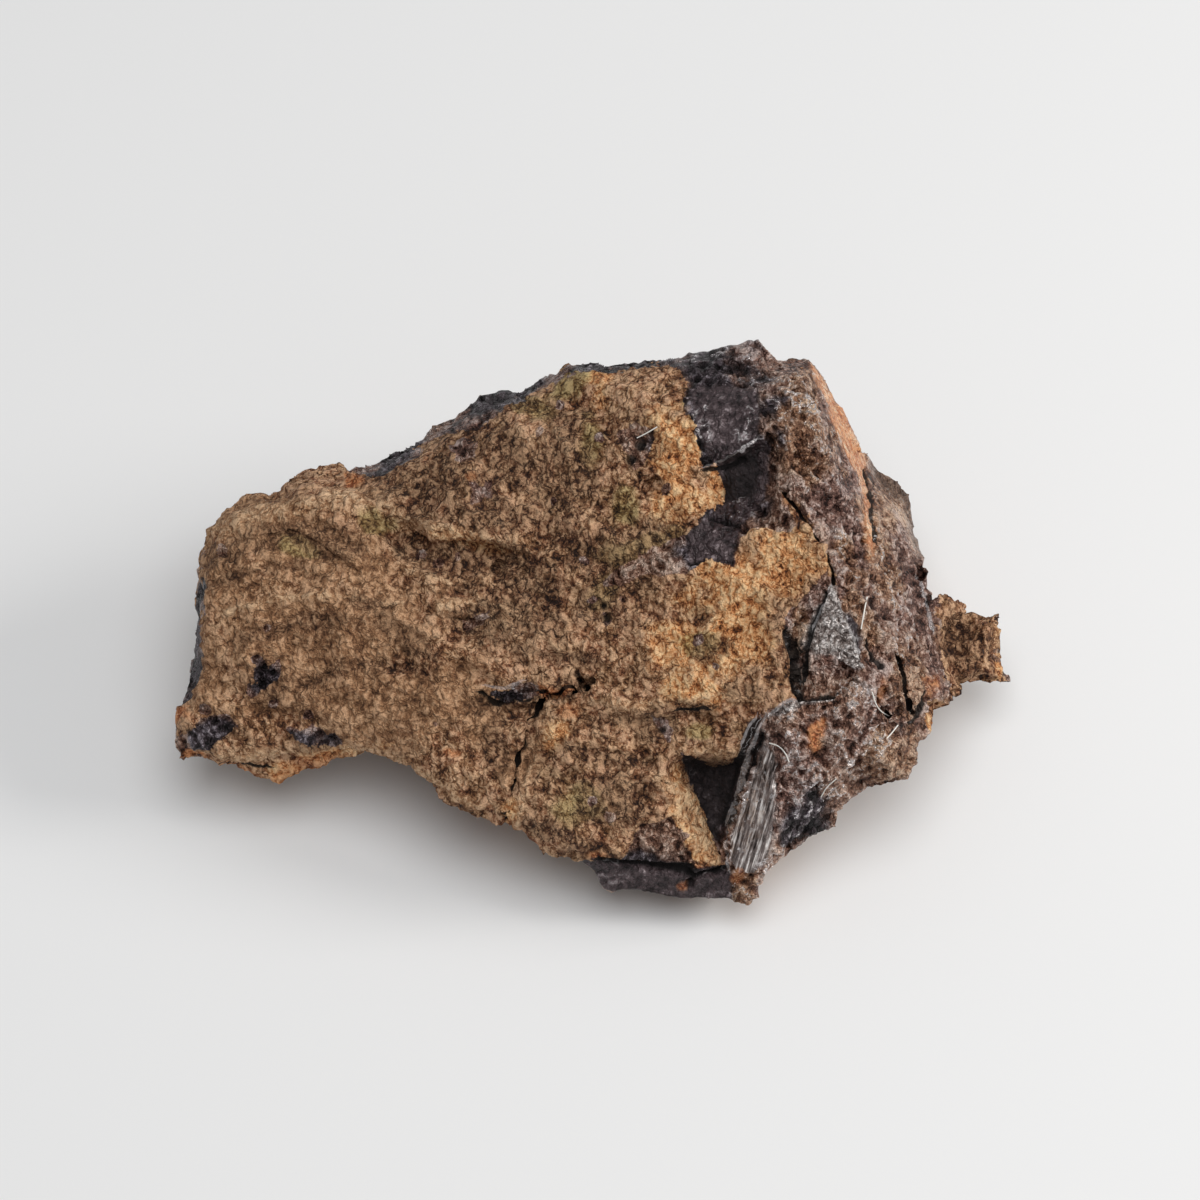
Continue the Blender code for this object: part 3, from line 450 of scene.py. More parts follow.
def nearestLine(places, lines, wander):
    # signed distance to the nearest line in half widths, and 1 close to it falling to 0 further off
    signed = np.full(len(places), 12.0)
    near = np.zeros(len(places))
    for line, halfWidth in lines:
        away, side = lineDistance(places, line)
        ratio = (away * side + wander) / halfWidth
        closer = np.abs(ratio) < np.abs(signed)
        signed = np.where(closer, ratio, signed)
        near = np.where(closer, 1.0 - smoothStep(0.04, 0.16, away - halfWidth * 1.2), near)
    return signed, near


def outlinesMask(places, marks, rag, soft):
    mask = np.zeros(len(places))
    for outline in marks.values():
        mask = np.maximum(mask, smoothStep(-soft, soft, insideDistance(places, outline) + rag))
    return mask


def blobsMask(places, blobs, rag):
    mask = np.zeros(len(places))
    for x, y, wide, tall, turn in blobs:
        offset = (places - np.array(photoPlace(x, y))) / mmPerPixel
        turned = math.radians(turn)
        across = offset[:, 0] * math.cos(turned) - offset[:, 1] * math.sin(turned)
        along = offset[:, 0] * math.sin(turned) + offset[:, 1] * math.cos(turned)
        away = np.hypot(across / wide, along / tall) + rag
        mask = np.maximum(mask, 1.0 - smoothStep(0.6, 1.2, away))
    return mask


def makeStone(node):
    settings = stoneSettings
    shape = bmesh.new()
    shape.from_mesh(node.data)
    bmesh.ops.remove_doubles(shape, verts=shape.verts, dist=1e-6 * mm)
    eye = (middle + towardAxis * viewSettings["distance"]) * mm
    seen = {face for face in shape.faces
            if face.normal.dot((eye - face.calc_center_median()).normalized()) > settings["seenFrom"]}
    faceEdges = [edge for edge in shape.edges if any(face in seen for face in edge.link_faces)]
    bmesh.ops.subdivide_edges(shape, edges=faceEdges, cuts=settings["faceCuts"], use_grid_fill=True)
    bmesh.ops.triangulate(shape, faces=shape.faces)
    hiddenEdges = [edge for edge in shape.edges if edge.calc_length() > settings["hiddenLength"] * mm]
    bmesh.ops.subdivide_edges(shape, edges=hiddenEdges, cuts=settings["hiddenCuts"], use_grid_fill=True)
    bmesh.ops.triangulate(shape, faces=shape.faces)
    inner = [vert for vert in shape.verts if vert.co.z > 0.01 * mm]
    for _ in range(settings["evenRounds"]):
        for factor in (0.5, -0.52):  # the second step swells what the first one shrinks
            bmesh.ops.smooth_vert(shape, verts=inner, factor=factor, use_axis_x=True, use_axis_y=True,
                                  use_axis_z=True)
    mesh = bpy.data.meshes.new("meteoriteSurface")
    shape.to_mesh(mesh)
    shape.free()
    piece = bpy.data.objects.new("meteoriteSurface", mesh)
    bpy.context.scene.collection.objects.link(piece)
    return piece


def meshArrays(mesh):
    count = len(mesh.vertices)
    points = np.empty(count * 3, dtype=np.float32)
    normals = np.empty(count * 3, dtype=np.float32)
    mesh.vertices.foreach_get("co", points)
    mesh.vertex_normals.foreach_get("vector", normals)
    return points.reshape(-1, 3).astype(float) / mm, normals.reshape(-1, 3).astype(float)


def setPoints(mesh, points):
    mesh.vertices.foreach_set("co", (points * mm).astype(np.float32).ravel())
    mesh.update()


def addMask(mesh, name, values):
    layer = mesh.attributes.new(name, "FLOAT", "POINT")
    layer.data.foreach_set("value", values.astype(np.float32))


def facingOf(points, normals):
    # 1 where the surface looks straight at the camera, 0 where it is seen edge on
    toEye = np.array(middle + towardAxis * viewSettings["distance"]) - points
    return np.einsum("ij,ij->i", normals, toEye) / np.linalg.norm(toEye, axis=1)


def zonesOf(points, normals):
    # how much of each finish and of each painted highlight and painted shade lies at every point
    places = drawnPlaces(points)
    facing = facingOf(points, normals)
    seen = smoothStep(-0.45, -0.2, facing)
    hidden = 1.0 - seen
    # the numbers of a roughField are its size in mm, its layers and its seed
    worms = wormField(points, 0.26, 70)
    rag = roughField(points, 0.5, 3, 5) * 0.08 + (worms - 0.4) * 0.07
    loose = roughField(points, 0.8, 5, 33) * 0.6
    dots = np.zeros(len(points))
    for x, y, radius in bareDots:
        away = np.linalg.norm(places - np.array(photoPlace(x, y)), axis=1)
        dots = np.maximum(dots, smoothStep(-0.06, 0.06, radius * mmPerPixel - away + rag))
    bare = np.maximum(outlinesMask(places, bareIron, rag, 0.09), dots)
    bare = np.minimum(bare, 1.0 - outlinesMask(places, crustBack, rag * 1.3, 0.07))
    wide = roughField(points, 2.6, 4, 40)
    zones = {name: blobsMask(places, blobs, loose) * seen for name, blobs in softPatches.items()}
    zones["crust"] = (1.0 - bare) * seen + smoothStep(-0.06, 0.06, wide + rag) * hidden
    zones["bright"] += smoothStep(0.45, 0.9, wide) * hidden
    rusted = 0.6 * blobsMask(places, rustBlobs, loose)
    zones["rust"] = np.maximum(outlinesMask(places, rustMarks, rag, 0.06), rusted) * seen
    zones["rust"] += smoothStep(0.6, 0.9, roughField(points, 1.7, 4, 90)) * hidden * 0.8
    sooty = smoothStep(0.0, 1.1, roughField(points, 1.6, 3, 50)) * (0.5 * seen + 0.9 * hidden)
    zones["darkCrustAndShade"] = np.maximum(zones["darkCrustAndShade"], sooty)
    browned = smoothStep(-0.3, 0.4, roughField(points, 1.9, 3, 60)) * (0.5 * seen + hidden)
    zones["brown"] = np.maximum(zones["brown"], browned)
    glinting = smoothStep(0.35, 0.8, roughField(points, 1.2, 3, 66)) * (0.3 * seen + 0.8 * hidden)
    zones["glint"] = np.maximum(zones["glint"], glinting)
    zones["calm"] = outlinesMask(places, calmIron, rag * 0.5, 0.1) * seen
    zones["peach"] = outlinesMask(places, peachMarks, rag * 0.7, 0.06)
    zones["peach"] *= smoothStep(-0.12, 0.12, facing + rag * 2.5)
    zones["smoothIron"] = outlinesMask(places, smoothIron, rag * 0.4, 0.05) * seen
    zones["smoothIron"] += smoothStep(0.5, 0.6, roughField(points, 3.4, 2, 44)) * hidden
    zones["greyIron"] = outlinesMask(places, greyIron, rag * 0.3, 0.04) * seen
    zones["streaked"] = outlinesMask(places, streaked, rag * 0.3, 0.04) * seen
    wander = noiseField(points, 0.35, 8)
    edges = [(line, stoneSettings["edgeHalfWidth"]) for line in brightEdges]
    zones["edgeLine"], zones["edgeNear"] = nearestLine(places, edges, wander * 0.03)
    zones["edgeNear"] *= seen * (0.55 + 0.45 * smoothStep(-0.6, 0.1, noiseField(points, 0.4, 16)))
    unevenWidth = 1.1 + 0.4 * noiseField(points, 0.5, 12)
    cracks = [(crack["line"], crack["width"] / 2 * unevenWidth) for crack in darkCuts]
    zones["crackLine"], zones["crackNear"] = nearestLine(places, cracks, wander * 0.06)
    zones["crackNear"] *= seen
    # raised edges to be painted lighter as a highlight, and grooves to be cut and painted darker as shade
    for name, lines in (("worn", edgeHighlightLines), ("groove", grooveLines)):
        zones[name] = np.zeros(len(points))
        for line, halfWidth in lines:
            away, _ = lineDistance(places, line)
            broken = away / halfWidth + 0.9 * noiseField(points, 0.4, 18) + 0.5 * noiseField(points, 1.3, 19)
            zones[name] = np.maximum(zones[name], (1.0 - smoothStep(0.2, 1.6, broken)) * seen)
    # painted shade: the deep places, the slits by the flake and the holes are painted near black
    recessShade = outlinesMask(places, sunkenDark, rag * 0.6, 0.1) * seen * 0.75
    recessShade = np.maximum(recessShade, outlinesMask(places, shadedSlits, rag * 0.3, 0.05) * seen)
    cut = np.zeros(len(points))
    for crack in darkCuts:
        away, side = lineDistance(places, crack["line"])
        share = 1.0 - smoothStep(0.5, 1.6, np.abs(away * side + wander * 0.06) / (crack["width"] / 2))
        cut = np.maximum(cut, share * crack["depth"] * seen)
    for x, y, radius, depth in holes:
        away = np.linalg.norm(places - np.array(photoPlace(x, y)), axis=1) / mmPerPixel
        share = (1.0 - smoothStep(0.5, 1.2, away / radius + wander * 0.35)) * seen
        recessShade = np.maximum(recessShade, share)
        cut = np.maximum(cut, share * depth)
    step = zones["groove"] * -stoneSettings["grooveDrop"]
    for ledge in ledges:
        away, side = lineDistance(places, ledge["line"])
        bent = away * side + wander * 0.06
        fade = np.exp(-(away / ledge["reach"]) ** 2) * seen
        step -= ledge["drop"] * fade * (smoothStep(-0.07, 0.07, bent) - 0.5)
    # the grooves are painted darker, as painted shade
    zones["darkCrustAndShade"] = np.maximum(zones["darkCrustAndShade"], zones.pop("groove") * 0.9)
    zones["recessShade"] = recessShade
    return zones, cut, step


def addRelief(piece):
    # fine relief pushed along the normals, and the finishes written to the mesh
    settings = stoneSettings
    mesh = piece.data
    points, normals = meshArrays(mesh)
    zones, cut, step = zonesOf(points, normals)
    crust = zones["crust"]
    even = np.maximum(np.maximum(zones["smoothIron"], zones["greyIron"] * 0.9), zones["streaked"])
    even *= 1.0 - crust
    calm = 1.0 - 0.2 * zones["pale"]
    rimCalm = 0.3 + 0.7 * smoothStep(0.15, 0.5, np.abs(facingOf(points, normals)))
    rimCalm *= 1.0 - 0.85 * np.maximum(np.maximum(zones["rust"], zones["peach"]), zones["calm"])
    sponge = wormField(points, settings["spongeSize"], 1)
    pits = -np.abs(roughField(points, settings["pitSize"], 3, 3))
    chunks = roughField(points * np.array([1.0, 1.0, 0.7]), settings["chunkSize"], 5, 17)
    nearest, second, tone = cellField(points, settings["grainSize"], 9)
    grain = np.clip(second - nearest, 0.0, 0.35) / 0.35 * (0.6 + 0.4 * tone)
    rise = crust * (settings["crustRise"] + (sponge - 0.4) * settings["spongeRise"] * calm)
    rise += crust * pits * settings["pitRise"] * calm
    gnarl = wormField(points, settings["gnarlSize"], 21)
    uneven = (1.0 - crust) * (1.0 - 0.88 * even) * rimCalm
    rise += uneven * (grain - 0.5) * settings["grainRise"]
    rise += uneven * (gnarl - 0.4) * settings["gnarlRise"]
    rise += uneven * chunks * settings["chunkRise"]
    places = drawnPlaces(points)
    across = places @ np.array(settings["bladeAcross"])
    along = places @ np.array(settings["bladeAlong"]) * settings["bladeStretch"]
    blades = np.abs(noiseField(np.stack([across, along, across * 0], axis=1), settings["bladeSize"], 4))
    rise += zones["streaked"] * (1.0 - crust) * (blades - 0.3) * settings["bladeRise"]
    lengthwise = points @ np.array(settings["foldAlong"]) * settings["foldStretch"]
    crosswise = points @ np.array(settings["foldAcross"])
    folds = roughField(np.stack([lengthwise, crosswise, crosswise * 0], axis=1), settings["foldSize"], 3, 27)
    rise += crust * folds * settings["foldRise"]
    # height of the fine relief from 0 to 1, which the shader turns into painted light on high places and
    # painted shade on low ones
    ochreRelief = 0.5 + folds * 0.3 + (sponge - 0.4) * 0.2 + (pits + 0.3) * 0.4
    ironRelief = 0.5 + (gnarl - 0.4) * 0.5 + (grain - 0.4) * 0.3 + chunks * 0.3
    zones["relief"] = np.clip(crust * ochreRelief + (1.0 - crust) * ironRelief, 0.0, 1.0)
    rise += zones["worn"] * crust * settings["wornRise"] + step - cut
    height = points[:, 2]
    rise *= smoothStep(0.0, settings["spotHeight"], height)
    points += normals * rise[:, None]
    points[:, 2] = np.maximum(points[:, 2], np.where(height < 0.01, 0.0, 0.01))
    points = np.clip(points, np.array(cadBox[0]) / mm, np.array(cadBox[1]) / mm)
    setPoints(mesh, points)
    for name, values in zones.items():
        addMask(mesh, name, values)
    mesh.shade_smooth()


# Shader helpers
def newMaterial(name):
    material = bpy.data.materials.new(name)
    material.use_nodes = True
    return material, material.node_tree.nodes, material.node_tree.links


def feed(tree, socket, value):
    # a number or tuple is set, and another node's output is linked
    if isinstance(value, (int, float, tuple)):
        socket.default_value = value
    elif value is not None:
        tree.links.new(value, socket)


def mathNode(tree, kind, first, second=None, clamp=False):
    node = tree.nodes.new("ShaderNodeMath")
    node.operation = kind
    node.use_clamp = clamp
    for socket, value in zip(node.inputs, (first, second)):
        feed(tree, socket, value)
    return node.outputs[0]


def times(tree, first, second):
    return mathNode(tree, "MULTIPLY", first, second)


def opposite(tree, value):
    # 1 less the value
    return mathNode(tree, "SUBTRACT", 1.0, value)


def over(tree, value, level, gain, clamp=False):
    # how far a value stands over a level, times a gain
    return mathNode(tree, "MULTIPLY", mathNode(tree, "SUBTRACT", value, level), gain, clamp)


def plusPart(tree, value, part, share):
    # a value with a share of another added
    return mathNode(tree, "ADD", value, times(tree, part, share))


def vectorNode(tree, kind, *values):
    node = tree.nodes.new("ShaderNodeVectorMath")
    node.operation = kind
    for socket, value in zip(node.inputs, values):
        feed(tree, socket, value)
    return node


def mixColour(tree, share, first, second):
    node = tree.nodes.new("ShaderNodeMix")
    node.data_type = "RGBA"
    for socket, value in ((node.inputs[0], share), (node.inputs[6], first), (node.inputs[7], second)):
        feed(tree, socket, value)
    return node.outputs[2]


def mixValue(tree, share, first, second):
    node = tree.nodes.new("ShaderNodeMix")
    node.data_type = "FLOAT"
    for socket, value in ((node.inputs[0], share), (node.inputs[2], first), (node.inputs[3], second)):
        feed(tree, socket, value)
    return node.outputs[0]


def rampNode(tree, source, stops):
    node = tree.nodes.new("ShaderNodeValToRGB")
    ramp = node.color_ramp
    ramp.elements[0].position = stops[0][0]
    ramp.elements[0].color = stops[0][1]
    ramp.elements[1].position = stops[-1][0]
    ramp.elements[1].color = stops[-1][1]
    for position, colour in stops[1:-1]:
        element = ramp.elements.new(position)
        element.color = colour
    tree.links.new(source, node.inputs[0])
    return node.outputs[0]


def noiseNode(tree, vector, scale, detail=4.0, roughness=0.6, output="Fac"):
    node = tree.nodes.new("ShaderNodeTexNoise")
    for name, value in (("Vector", vector), ("Scale", scale), ("Detail", detail), ("Roughness", roughness)):
        feed(tree, node.inputs[name], value)
    return node.outputs[output]


def attributeNode(tree, name):
    node = tree.nodes.new("ShaderNodeAttribute")
    node.attribute_name = name
    return node.outputs["Fac"]


shaderSettings = {  # scales are per mm
    "grains": {"Coarse": 2.9, "Fine": 6.2},
    "grainStretch": (1.2, 0.66, 0.66),
    "grainBend": (0.6, 0.6, 0.6),
    "crestScale": 4.0,
    "crestBend": (0.16, 0.16, 0.16),
    "patchScale": 1.1,
    "gritScale": 4.4,
    "redScale": 2.1,
    "mottleScale": 2.6,
    "poreScale": 3.6,
    "pitScale": 4.0,
    "facetScale": 8.0,
    "facetBend": (0.3, 0.3, 0.3),
    "streakAxes": ((10.5, -2.2, -1.5), (0.2, 0.7, 0.5)),
    "grainMiddle": 0.46,     # the grain value that is shaded as the middle one
    "paintedCrestLight": 0.35,       # how much lighter the raised places of the ochre are painted: painted light on the crests, painted shade in the hollows
    "bareMetallic": 0.22,
    "brokenMetallic": 0.15,  # more than that on the freshly broken iron
    # how strongly the painted glints show, in colour and in metal
    "glintShare": 0.8,
    "crustRough": 0.9,
    "smoothRough": 0.36,
    "facetRough": (0.24, 0.5),
    "specular": 0.35,
    "bumpDepth": 0.00017,    # in metres, as the bump node takes it
}


def newGroup(name, scales, outputs):
    # a node group that takes a Vector and some scales and gives some values
    group = bpy.data.node_groups.new(name, "ShaderNodeTree")
    face = group.interface
    face.new_socket("Vector", in_out="INPUT", socket_type="NodeSocketVector")
    for label, scale in scales.items():
        face.new_socket(label, in_out="INPUT", socket_type="NodeSocketFloat").default_value = scale
    for label in outputs:
        face.new_socket(label, in_out="OUTPUT", socket_type="NodeSocketFloat")
    return group, group.nodes.new("NodeGroupInput").outputs, group.nodes.new("NodeGroupOutput").inputs


def wormGroup():
    # winding crests with dark pores between them
    group, given, wanted = newGroup("windingCrests", {"Scale": shaderSettings["crestScale"]}, ["Crest"])
    bend = noiseNode(group, given["Vector"], 5.0, 1.0, 0.5, "Color")
    shifted = vectorNode(group, "MULTIPLY_ADD", bend, shaderSettings["crestBend"], given["Vector"])
    worms = noiseNode(group, shifted.outputs[0], given["Scale"], 1.0, 0.5)
    folded = mathNode(group, "ABSOLUTE", mathNode(group, "SUBTRACT", worms, 0.5))
    crest = mathNode(group, "SUBTRACT", 1.0, times(group, folded, 6.2), clamp=True)
    group.links.new(crest, wanted["Crest"])
    return group


def granuleGroup():
    # lumpy grains of two sizes with narrow crevices between them
    grains = shaderSettings["grains"]
    group, given, wanted = newGroup("granules", {name + " Scale": grains[name] for name in grains}, grains)
    bend = noiseNode(group, given["Vector"], 3.2, 2.0, 0.6, "Color")
    stretched = vectorNode(group, "MULTIPLY", given["Vector"], shaderSettings["grainStretch"])
    shifted = vectorNode(group, "MULTIPLY_ADD", bend, shaderSettings["grainBend"], stretched.outputs[0])
    for name in grains:
        cells = group.nodes.new("ShaderNodeTexVoronoi")
        cells.feature = "DISTANCE_TO_EDGE"
        group.links.new(shifted.outputs[0], cells.inputs["Vector"])
        group.links.new(given[name + " Scale"], cells.inputs["Scale"])
        top = mathNode(group, "MULTIPLY", cells.outputs["Distance"], 2.3, clamp=True)
        group.links.new(mathNode(group, "POWER", top, 0.85), wanted[name])
    return group


def groupNode(tree, group, vector):
    node = tree.nodes.new("ShaderNodeGroup")
    node.node_tree = group
    tree.links.new(vector, node.inputs["Vector"])
    return node.outputs


stoneColours = {  # ramps from the bottom of a pore to the top of a crest: the grain's own tones, with painted shade at the pore end and painted light at the crest end
    "plain": [(0.14, (42, 20, 9)), (0.32, (102, 65, 39)), (0.5, (152, 110, 76)), (0.82, (222, 180, 142))],
    "bright": [(0.14, (60, 28, 10)), (0.3, (152, 88, 44)), (0.5, (222, 154, 98)), (0.85, (255, 212, 160))],
    "pale": [(0.2, (78, 46, 27)), (0.38, (128, 90, 61)), (0.52, (160, 118, 84)), (0.8, (212, 168, 130))],
    "red": [(0.14, (44, 17, 9)), (0.32, (108, 59, 36)), (0.5, (158, 103, 72)), (0.82, (222, 174, 140))],
    "worn": [(0.1, (92, 54, 28)), (0.28, (164, 116, 78)), (0.5, (206, 160, 120)), (0.8, (238, 202, 162))],
    "peach": [(0.1, (116, 56, 26)), (0.35, (200, 120, 72)), (0.6, (240, 178, 130)), (0.9, (255, 224, 190))],
    "olive": [(0.12, (30, 20, 5)), (0.32, (84, 66, 28)), (0.55, (132, 114, 62)), (0.85, (180, 166, 106))],
    "darkCrustAndShade": [(0.16, (26, 13, 7)), (0.38, (66, 42, 27)), (0.58, (108, 76, 53)), (0.88, (164, 126, 94))],
    "purple": [(0.1, (40, 21, 16)), (0.28, (98, 66, 57)), (0.48, (154, 118, 105)), (0.74, (220, 196, 186))],
    "brownIron": [(0.1, (52, 27, 15)), (0.28, (112, 74, 53)), (0.48, (172, 129, 101)),
                  (0.74, (226, 192, 164))],
    "blueIron": [(0.18, (14, 10, 11)), (0.4, (46, 37, 40)), (0.62, (86, 75, 80)), (0.9, (168, 158, 165))],
    "smooth": [(0.14, (18, 11, 12)), (0.34, (50, 39, 41)), (0.58, (86, 72, 74)), (0.8, (160, 146, 148))],
    "grey": [(0.1, (66, 53, 50)), (0.35, (150, 136, 130)), (0.62, (238, 230, 226))],
    "streaks": [(0.37, (22, 15, 14)), (0.51, (134, 121, 117)), (0.62, (244, 238, 234))],
    "rust": [(0.12, (76, 30, 12)), (0.4, (166, 88, 44)), (0.7, (224, 154, 104))],
}
# the next three are painted shade: the dark of pits, pores and cracks
pitShadeBlack = (20, 10, 8)
poreShadeBrown = (34, 16, 8)
recessShadeBlack = (10, 6, 6)
calmBrown = (112, 92, 80)
# the white of the painted glints, a painted highlight
glintWhite = (225, 220, 220)


def toneRamp(tree, source, name):
    return rampNode(tree, source, [(place, linearColour(*tone)) for place, tone in stoneColours[name]])


def layOver(tree, colour, layers):
    for share, shade, name in layers:
        colour = mixColour(tree, share, colour, toneRamp(tree, shade, name))
    return colour


def streaks(tree, place):
    # fine streaks along the grey flake
    joined = tree.nodes.new("ShaderNodeCombineXYZ")
    for socket, axis in zip(joined.inputs, shaderSettings["streakAxes"]):
        tree.links.new(vectorNode(tree, "DOT_PRODUCT", place, axis).outputs["Value"], socket)
    return noiseNode(tree, joined.outputs[0], 1.0, 3.0, 0.65)


def sharedPatterns(tree, place, masks, wormTree, granuleTree):
    # the patterns that the colours, the shine and the bumps have in common
    settings = shaderSettings
    granules = groupNode(tree, granuleTree, place)
    grit = noiseNode(tree, place, settings["gritScale"], 4.0, 0.7)
    gritty = mathNode(tree, "ADD", 0.5, over(tree, grit, 0.5, 2.6))
    woven = mixValue(tree, 0.4, mixValue(tree, 0.4, granules["Coarse"], granules["Fine"]), gritty)
    return {
        "coarse": granules["Coarse"],
        "fine": granules["Fine"],
        "gnarled": groupNode(tree, wormTree, place)["Crest"],
        "patchy": noiseNode(tree, place, settings["patchScale"], 2.0, 0.65),
        "grit": grit,
        "gritty": gritty,
        "woven": woven,
        "weave": mathNode(tree, "ADD", over(tree, woven, settings["grainMiddle"], 1.45), 0.68),
        # the relief height about its middle, for painting high places lighter and low places darker: painted
        # light and shade
        "raised": mathNode(tree, "SUBTRACT", masks["relief"], 0.5),
        "striation": mixValue(tree, 0.15, streaks(tree, place), grit),
    }


def ochreColour(tree, place, masks, patterns):
    settings = shaderSettings
    raised = patterns["raised"]
    # the grain pattern, with the relief height painting raised places lighter and low places darker: painted
    # light and shade
    shaded = mathNode(tree, "ADD", patterns["weave"], over(tree, patterns["patchy"], 0.5, 0.6))
    shaded = plusPart(tree, shaded, raised, settings["paintedCrestLight"])
    mottled = mixValue(tree, 0.4, shaded, noiseNode(tree, place, settings["mottleScale"], 3.0, 0.7))
    redness = over(tree, noiseNode(tree, place, settings["redScale"], 2.0, 0.6), 0.42, 5.0, clamp=True)
    brightShade = plusPart(tree, patterns["weave"], raised, settings["paintedCrestLight"])
    ochre = layOver(tree, toneRamp(tree, shaded, "plain"), [
        (times(tree, redness, 0.6), shaded, "red"),
        (times(tree, masks["pale"], 0.85), mottled, "pale"),
        (masks["bright"], brightShade, "bright"),
        # raised edges painted lighter: a painted highlight
        (times(tree, masks["worn"], 0.6), brightShade, "worn"),
        (times(tree, masks["olive"], 0.6), shaded, "olive"),
        # darker crust in places, painted shade in hollows in others
        (times(tree, masks["darkCrustAndShade"], 0.6), shaded, "darkCrustAndShade"),
    ])
    # pores: the low places of the grain and noise, painted dark brown as shade in them
    poreEdge = plusPart(tree, plusPart(tree, 0.35, masks["darkCrustAndShade"], 0.09), masks["pale"], -0.1)
    grains = mixValue(tree, 0.5, patterns["coarse"], patterns["fine"])
    pores = mixValue(tree, 0.3, noiseNode(tree, place, settings["poreScale"], 3.0, 0.76), grains)
    pore = over(tree, poreEdge, pores, 9.0, clamp=True)
    return mixColour(tree, times(tree, pore, 0.7), ochre, linearColour(*poreShadeBrown))


def ironColour(tree, place, masks, patterns):
    raised = patterns["raised"]
    ironWeave = mixValue(tree, 0.3, patterns["coarse"], patterns["gnarled"])
    ironWeave = mixValue(tree, 0.4, ironWeave, patterns["fine"])
    ironWeave = mixValue(tree, 0.4, ironWeave, patterns["gritty"])
    # here and in the line below, the relief height paints high places lighter and low places darker: painted
    # light and shade
    ironShade = mathNode(tree, "ADD", ironWeave, mathNode(tree, "ADD", times(tree, raised, 0.6), 0.07))
    polished = plusPart(tree, mixValue(tree, 0.7, patterns["patchy"], ironWeave), raised, 0.3)
    iron = layOver(tree, toneRamp(tree, ironShade, "purple"), [
        (masks["brown"], ironShade, "brownIron"),
        (masks["blue"], ironShade, "blueIron"),
        (masks["smoothIron"], polished, "smooth"),
        (masks["greyIron"], ironWeave, "grey"),
        (masks["streaked"], patterns["striation"], "streaks"),
    ])
    iron = mixColour(tree, times(tree, masks["calm"], 0.7), iron, linearColour(*calmBrown))
    # dark pits in the bare iron, painted near black as shade in them
    pitPattern = noiseNode(tree, place, shaderSettings["pitScale"], 2.0, 0.72)
    pitPattern = mixValue(tree, 0.35, pitPattern, patterns["fine"])
    closed = mathNode(tree, "MAXIMUM", masks["smoothIron"], masks["streaked"])
    ironPitShade = over(tree, plusPart(tree, 0.44, closed, -0.12), pitPattern, 10.0, clamp=True)
    return mixColour(tree, times(tree, ironPitShade, 0.45), iron, linearColour(*pitShadeBlack))


def lineShare(tree, masks, name):
    # 1 on a drawn line and 0 beside it
    inLine = over(tree, 1.15, mathNode(tree, "ABSOLUTE", masks[name + "Line"]), 3.0, clamp=True)
    return times(tree, inLine, masks[name + "Near"])


def glitterOf(tree, masks, patterns, bareShare, edgeShare):
    # painted glints: white painted highlights on crests of bare iron and on the thin broken edges, which also
    # raise the metallic
    crestLine = over(tree, patterns["gnarled"], 0.62, 5.0, clamp=True)
    lit = times(tree, patterns["grit"], mathNode(tree, "ADD", masks["relief"], 0.5))
    picked = over(tree, lit, 0.52, 9.0, clamp=True)
    dulled = opposite(tree, times(tree, masks["smoothIron"], 0.4))
    sparkle = times(tree, times(tree, crestLine, picked), dulled)
    glitter = times(tree, times(tree, masks["glint"], sparkle), bareShare)
    return mathNode(tree, "MAXIMUM", glitter, times(tree, edgeShare, shaderSettings["glintShare"]))


def metalOf(tree, masks, glitter, bareShare, shadowed):
    broken = mathNode(tree, "MAXIMUM", masks["greyIron"], masks["streaked"])
    bare = plusPart(tree, shaderSettings["bareMetallic"], broken, shaderSettings["brokenMetallic"])
    metal = mathNode(tree, "MAXIMUM", glitter, times(tree, bareShare, bare))
    return times(tree, metal, opposite(tree, times(tree, shadowed, 0.9)))


def facetColours(tree, place):
    # a colour of its own for each small facet of the broken iron
    facets = tree.nodes.new("ShaderNodeTexVoronoi")
    facets.inputs["Scale"].default_value = shaderSettings["facetScale"]
    bend = noiseNode(tree, place, 3.0, 2.0, 0.5, "Color")
    bent = vectorNode(tree, "MULTIPLY_ADD", bend, shaderSettings["facetBend"], place)
    tree.links.new(bent.outputs[0], facets.inputs["Vector"])
    return facets.outputs["Color"]


def roughnessOf(tree, masks, facets, crustShare, shadedRecess):
    settings = shaderSettings
    facetTone = tree.nodes.new("ShaderNodeSeparateColor")
    tree.links.new(facets, facetTone.inputs[0])
    rough = mixValue(tree, facetTone.outputs[1], *settings["facetRough"])
    rough = mixValue(tree, masks["smoothIron"], rough, settings["smoothRough"])
    rough = mixValue(tree, shadedRecess, rough, settings["crustRough"])
    return mixValue(tree, crustShare, rough, settings["crustRough"])


def bumpedNormal(tree, masks, patterns, facets):
    # small lumps all over, and facets turned at random on the bare iron
    lumps = mixValue(tree, 0.4, patterns["coarse"], patterns["gritty"])
    crustHeight = times(tree, lumps, times(tree, masks["crust"], 1.3))
    unsmooth = opposite(tree, times(tree, masks["smoothIron"], 0.6))
    uneven = times(tree, opposite(tree, masks["crust"]), unsmooth)
    grainHeight = times(tree, lumps, times(tree, uneven, opposite(tree, masks["streaked"])))
    tiltShare = vectorNode(tree, "SCALE", vectorNode(tree, "SUBTRACT", facets, (0.5, 0.5, 0.5)).outputs[0])
    feed(tree, tiltShare.inputs["Scale"], times(tree, uneven, 0.5))
    geometry = tree.nodes.new("ShaderNodeNewGeometry")
    tilted = vectorNode(tree, "ADD", geometry.outputs["Normal"], tiltShare.outputs[0])
    straight = vectorNode(tree, "NORMALIZE", tilted.outputs[0])
    bump = tree.nodes.new("ShaderNodeBump")
    bump.inputs["Strength"].default_value = 1.0
    bump.inputs["Distance"].default_value = shaderSettings["bumpDepth"]
    feed(tree, bump.inputs["Normal"], straight.outputs[0])
    feed(tree, bump.inputs["Height"], plusPart(tree, crustHeight, grainHeight, 1.5))
    return bump.outputs["Normal"]


